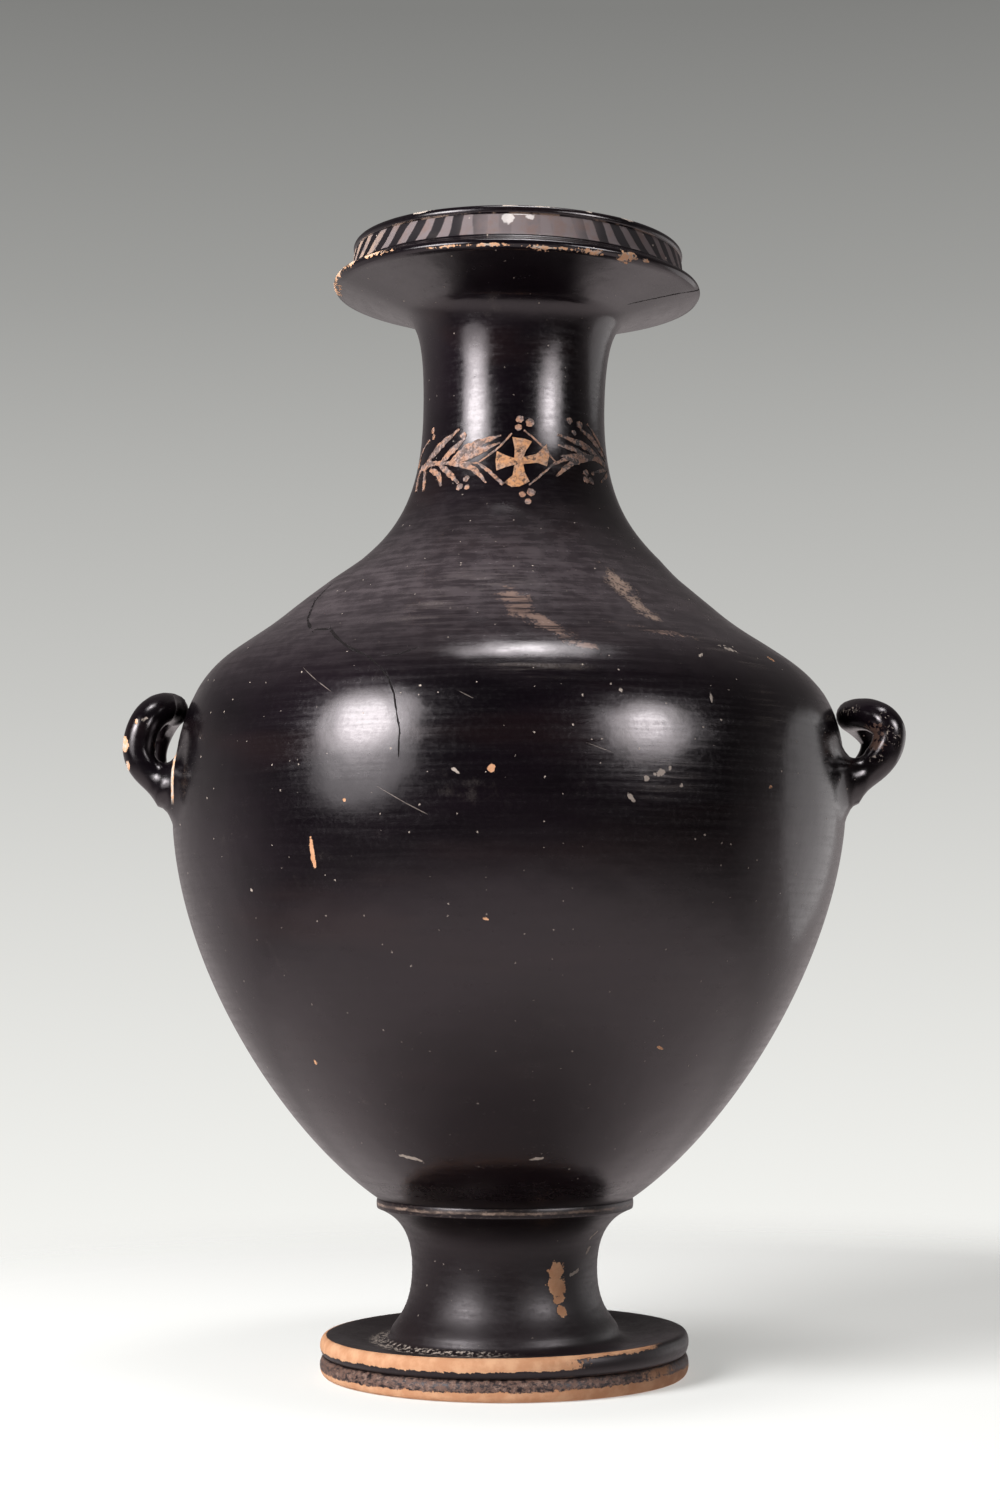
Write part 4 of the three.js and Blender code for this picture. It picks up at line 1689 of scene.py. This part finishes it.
STROKES = (
    Stroke(((-20.3, 363.2), (-8.0, 369.9), (-1.2, 375.2)), FINE),
    Stroke(((6.0, 376.5), (15.6, 371.0), (24.6, 363.8)), FINE),
    Stroke(((24.6, 363.8), (14.4, 357.4), (8.2, 353.4)), FINE),
    Stroke(((-5.2, 353.7), (-12.8, 359.0), (-20.3, 363.2)), (1.2, 1.1, 0.8)),
    Stroke(
        ((-69.8, 365.2), (-55.1, 365.7), (-42.9, 364.8), (-31.7, 364.0), (-20.3, 363.2)),
        (2.6, 1.2, 0.6),
    ),
    Stroke(((-78.0, 366.4), (-74.2, 372.6), (-62.5, 376.6)), (1.1, 1.0, 0.6)),
    Stroke(((-61.8, 366.6), (-52.7, 371.3), (-34.9, 378.2)), (1.6, 3.0, 0.7)),
    Stroke(((-47.8, 365.0), (-39.2, 369.4), (-30.3, 374.2)), (1.3, 2.3, 0.8)),
    Stroke(((-38.8, 364.8), (-26.5, 370.0), (-7.6, 374.4)), (1.4, 3.3, 0.5)),
    Stroke(((-36.0, 364.2), (-22.8, 367.6), (-8.0, 371.4)), (1.4, 2.4, 0.5)),
    Stroke(((-70.5, 365.0), (-70.7, 360.9), (-66.6, 355.4)), (1.4, 1.5, 0.9)),
    Stroke(((-63.0, 364.2), (-59.8, 359.2), (-57.0, 354.6)), (1.3, 1.6, 1.0)),
    Stroke(((-56.2, 363.4), (-46.9, 360.2), (-42.2, 355.0)), (1.3, 2.1, 0.8)),
    Stroke(((-47.5, 364.4), (-38.6, 360.2), (-30.8, 355.2)), (1.4, 2.0, 0.9)),
    Stroke(((-38.8, 364.2), (-24.4, 361.4), (-14.4, 354.6)), (1.3, 1.9, 0.6)),
    Stroke(((75.5, 366.2), (58.0, 368.2), (42.7, 368.0), (28.4, 366.6)), (2.2, 1.6, 0.7)),
    Stroke(((75.0, 370.5), (65.4, 375.4), (51.6, 382.0)), (1.1, 1.2, 0.5)),
    Stroke(((72.0, 369.4), (57.5, 375.2), (45.0, 379.2)), (1.4, 1.9, 0.8)),
    Stroke(((62.0, 368.4), (47.8, 372.2), (27.3, 375.4)), (1.6, 2.2, 0.7)),
    Stroke(((52.0, 368.0), (38.0, 370.2), (27.2, 371.2)), (1.2, 1.7, 0.5)),
    Stroke(((54.0, 368.0), (36.4, 364.4), (24.2, 357.8)), (1.3, 2.2, 0.6)),
    Stroke(((45.5, 368.2), (33.2, 366.0), (20.9, 362.0)), (1.0, 1.3, 0.5)),
    Stroke(((73.0, 366.0), (62.0, 363.6), (52.6, 361.9)), (1.2, 1.3, 0.6)),
    Stroke(((75.5, 365.6), (68.7, 362.6), (58.6, 358.6)), (1.1, 1.2, 0.6)),
)
DOTS = (
    (3.4, 381.0, 2.6),
    (9.8, 379.6, 2.8),
    (2.8, 377.6, 2.2),
    (4.6, 349.2, 2.0),
    (9.0, 350.2, 2.9),
    (7.2, 346.2, 2.2),
    (-59.2, 380.2, 2.2),
    (-58.0, 377.4, 1.8),
    (-31.8, 375.4, 2.4),
    (-26.2, 356.9, 2.1),
    (-29.3, 353.6, 2.4),
    (-24.8, 353.2, 1.8),
    (36.2, 381.9, 2.3),
    (44.3, 380.9, 2.5),
    (39.4, 377.2, 1.8),
    (44.3, 358.0, 2.4),
    (48.2, 357.9, 2.4),
    (45.4, 360.9, 2.2),
    (51.5, 361.2, 1.4),
)


@dataclass
class NeckOrnament:
    """The painted cross in its lozenge, with a spray of leaves on each side."""

    form: Form
    cross: Slip = Slip("added_clay_cross", (0.50, 0.240, 0.105), (0.42, 0.250, 0.165), wear=0.30)
    spray: Slip = Slip("added_clay_spray", (0.36, 0.190, 0.120), (0.33, 0.245, 0.225), wear=0.62)
    proud: float = 0.2
    sunk: float = 0.5
    growth: float = 1.25
    middle_height: float = 365.0
    stroke_steps: int = 10
    stroke_uneven: Pair = (0.66, 1.22)
    dot_uneven: Pair = (0.80, 1.15)
    dot_sides: int = 14
    first_cut: Pair = (-12, 345)
    cut_step: Pair = (3, 4)
    cuts: tuple[int, int] = (12, 8)

    def build(self) -> bpy.types.Object:
        """Draws all strokes, dots and cross arms and joins them into one piece."""
        arms = [self.arm(f"arm_{i}", item) for i, item in enumerate(CROSS_ARMS)]
        leaves = [self.stroke(f"stroke_{i}", item) for i, item in enumerate(STROKES)]
        leaves += [self.dot(f"dot_{i}", *item) for i, item in enumerate(DOTS)]
        for slip, group in ((self.cross.build(), arms), (self.spray.build(), leaves)):
            for piece in group:
                piece.data.materials.clear()
                piece.data.materials.append(slip)
        pick(*leaves, *arms)
        bpy.ops.object.join()
        ornament = named("neck_ornament")
        settle_normals(ornament, 0.001)
        shade(ornament, 60)
        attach(ornament, BODY)
        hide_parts(NODE)
        return ornament

    def place(self, azimuth: float, height: float, lift: float = 0.0) -> Vector:
        """Returns the point on the neck at an azimuth and height, lifted off it by a distance."""
        angle = math.radians(azimuth)
        radius = self.form.radius_at(height) + lift
        x = self.form.lean_at(height) + radius * math.sin(angle)
        return Vector((x, -radius * math.cos(angle), height)) * MM

    def laid(self, piece: bpy.types.Object) -> bpy.types.Object:
        """Thickens a flat plate drawn in azimuth and height, and lays it on the neck."""
        pick(piece)
        bpy.ops.object.mode_set(mode="EDIT")
        bpy.ops.mesh.select_all(action="SELECT")
        bpy.ops.mesh.extrude_region_move(TRANSFORM_OT_translate={"value": (0, 0, 1)})
        bpy.ops.object.mode_set(mode="OBJECT")
        for vertex in piece.data.vertices:
            lift = self.proud if vertex.co.z > 0.5 else -self.sunk
            vertex.co = self.place(vertex.co.x, vertex.co.y, lift)
        settle_normals(piece, 0.001)
        return piece

    def stroke(self, name: str, item: Stroke) -> bpy.types.Object:
        """Returns one brush stroke as a thin strip with a slightly uneven edge."""
        run = smooth_run(list(item.places), self.stroke_steps)
        scale = math.radians(1) * self.form.radius_at(self.middle_height)
        count = len(run) - 1
        deselect()
        bpy.ops.mesh.primitive_grid_add(x_subdivisions=count, y_subdivisions=1, size=1)
        made = named(name)
        first, middle, last = item.widths
        for vertex in made.data.vertices:
            index = round((vertex.co.x + 0.5) * count)
            side = math.copysign(1, vertex.co.y)
            share = index / count
            wide = (
                first + (middle - first) * eased(share, 0, 0.5)
                if share < 0.5
                else middle + (last - middle) * eased(share, 0.5, 1)
            )
            half = self.growth / 2 * wide * random.uniform(*self.stroke_uneven)
            before, after = run[max(0, index - 1)], run[min(count, index + 1)]
            along = Vector(((after[0] - before[0]) * scale, after[1] - before[1])).normalized()
            azimuth, height = run[index]
            vertex.co = (
                azimuth - side * along.y * half / scale,
                height + side * along.x * half,
                0,
            )
        return self.laid(made)

    def dot(self, name: str, azimuth: float, height: float, wide: float) -> bpy.types.Object:
        """Returns one dot as a thin, slightly uneven plate."""
        scale = math.radians(1) * self.form.radius_at(height)
        deselect()
        bpy.ops.mesh.primitive_circle_add(
            vertices=self.dot_sides, radius=1, fill_type="TRIFAN"
        )
        made = named(name)
        for vertex in made.data.vertices:
            half = self.growth / 2 * wide * random.uniform(*self.dot_uneven)
            vertex.co = (azimuth + vertex.co.x * half / scale, height + vertex.co.y * half, 0)
        return self.laid(made)

    def arm(self, name: str, corners: tuple[Pair, ...]) -> bpy.types.Object:
        """Returns one splayed arm of the cross as a thin plate that follows the neck."""
        deselect()
        bpy.ops.mesh.primitive_circle_add(vertices=len(corners), radius=1, fill_type="NGON")
        made = named(name)
        for vertex, corner in zip(made.data.vertices, corners):
            vertex.co = (*corner, 0.0)
        bpy.ops.object.mode_set(mode="EDIT")
        for index in range(self.cuts[1]):
            bpy.ops.mesh.select_all(action="SELECT")
            level = self.first_cut[1] + self.cut_step[1] * index
            bpy.ops.mesh.bisect(plane_co=(0, level, 0), plane_no=(0, 1, 0))
        for index in range(self.cuts[0]):
            bpy.ops.mesh.select_all(action="SELECT")
            azimuth = self.first_cut[0] + self.cut_step[0] * index
            bpy.ops.mesh.bisect(plane_co=(azimuth, 0, 0), plane_no=(1, 0, 0))
        bpy.ops.object.mode_set(mode="OBJECT")
        return self.laid(made)


# ---------------------------------------------------------------------- studio


class Duty(Enum):
    """What a soft light does: it lights surfaces, or it shows as their sheen."""

    LIGHT = "light"
    SHEEN = "sheen"


@dataclass(frozen=True)
class Softbox:
    """One soft light, given by the direction it stands in, its distance, size and power."""

    name: str
    azimuth: float
    elevation: float
    distance: float
    wide: float
    tall: float
    power: float
    duty: Duty


@dataclass
class Studio:
    """Floor, backdrop, soft lights and the camera."""

    aim_height: float = 0.23
    lens: float = 62.066
    sensor: float = 36.0
    camera_place: Place = (-0.00571, -1.0578, 0.1675)
    camera_pitch: float = 94.532
    floor_reach: float = 1.0
    floor_ring: float = 0.4
    floor_drop: float = 0.0002
    sky: tuple[Pair, ...] = (
        (-0.20, 1.0),
        (-0.13, 0.939),
        (-0.0555, 0.823),
        (0.021, 0.701),
        (0.0983, 0.571),
        (0.1745, 0.462),
        (0.2487, 0.342),
        (0.35, 0.216),
    )
    warmth: float = 0.965
    room_edge: Pair = (-0.25, 0.35)
    wall_glow: float = 0.55
    dark_glow: float = 0.04
    cast: Colour = (1.0, 0.90, 0.93)
    table: tuple[Pair, ...] = (
        (-0.97, 0.30),
        (-0.88, 0.62),
        (-0.70, 1.15),
        (-0.50, 0.85),
        (-0.32, 0.16),
        (-0.15, 0.0),
    )
    boxes: tuple[Softbox, ...] = (
        Softbox("key", -49, 25, 1.6, 0.90, 0.80, 48, Duty.LIGHT),
        Softbox("key_core", -49, 23.5, 1.6, 0.50, 0.50, 9.5, Duty.SHEEN),
        Softbox("key_edge", -49, 24, 1.62, 0.92, 0.86, 14, Duty.SHEEN),
        Softbox("key_low", -49, 12, 1.64, 1.04, 0.90, 7.0, Duty.SHEEN),
        Softbox("fill_core", 46, 20, 1.8, 0.44, 0.32, 5.5, Duty.SHEEN),
        Softbox("fill_edge", 46, 20, 1.82, 0.96, 0.72, 12, Duty.SHEEN),
        Softbox("side", 122, 1, 1.9, 1.5, 1.2, 3.0, Duty.SHEEN),
        Softbox("top", 25, 82, 1.5, 0.70, 0.40, 9, Duty.LIGHT),
        Softbox("top_core", 22, 82, 1.5, 0.36, 0.16, 2.6, Duty.SHEEN),
        Softbox("top_edge", 25, 82, 1.52, 0.84, 0.42, 5.5, Duty.SHEEN),
    )

    def build(self) -> None:
        """Sets up the whole studio."""
        self.floor()
        self.backdrop()
        for box in self.boxes:
            self.lamp(box)
        self.camera()
        bpy.context.scene.view_settings.view_transform = "Standard"

    def floor(self) -> None:
        """Lays the floor, a disc just under the resting face."""
        deselect()
        bpy.ops.mesh.primitive_circle_add(
            vertices=96,
            radius=self.floor_reach,
            fill_type="NGON",
            location=(0, 0, -self.floor_drop),
        )
        floor = named("studio_floor")
        bpy.ops.object.mode_set(mode="EDIT")
        bpy.ops.mesh.select_all(action="SELECT")
        bpy.ops.mesh.inset(thickness=self.floor_ring)
        bpy.ops.object.mode_set(mode="OBJECT")
        floor.data.materials.append(Floor().build())
        floor.visible_glossy = False

    def backdrop(self) -> None:
        """Paints the world: a wall that darkens upward, and for the gloss a dim room in front."""
        g = Graph(bpy.data.worlds.new("studio_room"))
        bpy.context.scene.world = g.owner
        _, depth, rise = g.split(g.coordinates["Generated"])
        low, high = self.sky[0][0], self.sky[-1][0]
        level = g.node("ShaderNodeMapRange", {"Value": rise, "From Min": low, "From Max": high})
        stops = [
            ((at - low) / (high - low), (tone, tone, tone * self.warmth)) for at, tone in self.sky
        ]
        wall = g.ramp(level.outputs["Result"], stops)
        room = g.node(
            "ShaderNodeMapRange",
            {
                "Value": depth,
                "From Min": self.room_edge[0],
                "From Max": self.room_edge[1],
                "To Max": self.wall_glow,
            },
        ).outputs["Result"]
        stops = [(at + 1.0, (tone, tone, tone)) for at, tone in self.table]
        below = g.ramp(g.math("ADD", rise, 1.0), stops)
        seen = g.node("ShaderNodeLightPath", {}).outputs["Is Camera Ray"]
        bright = g.math("MAXIMUM", g.math("MAXIMUM", room, below), seen)
        strength = g.node("ShaderNodeMapRange", {"Value": bright, "To Min": self.dark_glow})
        tinted = g.node(
            "ShaderNodeMixRGB",
            {
                "Fac": g.math("SUBTRACT", 1.0, seen),
                "Color1": wall,
                "Color2": (*self.cast, 1.0),
            },
            blend_type="MULTIPLY",
        ).outputs["Color"]
        glow = g.node(
            "ShaderNodeBackground", {"Color": tinted, "Strength": strength.outputs["Result"]}
        ).outputs[0]
        g.node("ShaderNodeOutputWorld", {0: glow})

    def lamp(self, box: Softbox) -> None:
        """Hangs one soft light, aimed at the jar's belly."""
        azimuth, elevation = math.radians(box.azimuth), math.radians(box.elevation)
        away = Vector(
            (
                math.sin(azimuth) * math.cos(elevation),
                -math.cos(azimuth) * math.cos(elevation),
                math.sin(elevation),
            )
        )
        data = bpy.data.lights.new(box.name, "AREA")
        data.shape = "ELLIPSE"
        data.size, data.size_y, data.energy = box.wide, box.tall, box.power
        lamp = bpy.data.objects.new(box.name, data)
        bpy.context.scene.collection.objects.link(lamp)
        lamp.location = Vector((0, 0, self.aim_height)) + away * box.distance
        lamp.rotation_euler = away.to_track_quat("Z", "Y").to_euler()
        lamp.visible_camera = False
        lamp.visible_diffuse = box.duty is Duty.LIGHT
        lamp.visible_glossy = box.duty is Duty.SHEEN

    def camera(self) -> None:
        """Places the camera of the picture."""
        data = bpy.data.cameras.new("picture_camera")
        data.lens, data.sensor_fit = self.lens, "VERTICAL"
        data.sensor_height = data.sensor_width = self.sensor
        data.clip_start, data.clip_end = 0.05, 50
        camera = bpy.data.objects.new("picture_camera", data)
        bpy.context.scene.collection.objects.link(camera)
        camera.location = self.camera_place
        camera.rotation_euler = (math.radians(self.camera_pitch), 0, 0)
        bpy.context.scene.camera = camera


def main() -> None:
    """Builds the jar, its ornament and the studio, and reports each piece."""
    logging.basicConfig(level=logging.INFO, format="%(name)s: %(message)s")
    random.seed(4)
    form = Form()
    for piece in (Hydria(form).build(), NeckOrnament(form).build()):
        LOG.info("%s: %d faces", piece.name, len(piece.data.polygons))
    Studio().build()


if __name__ == "__main__":
    main()
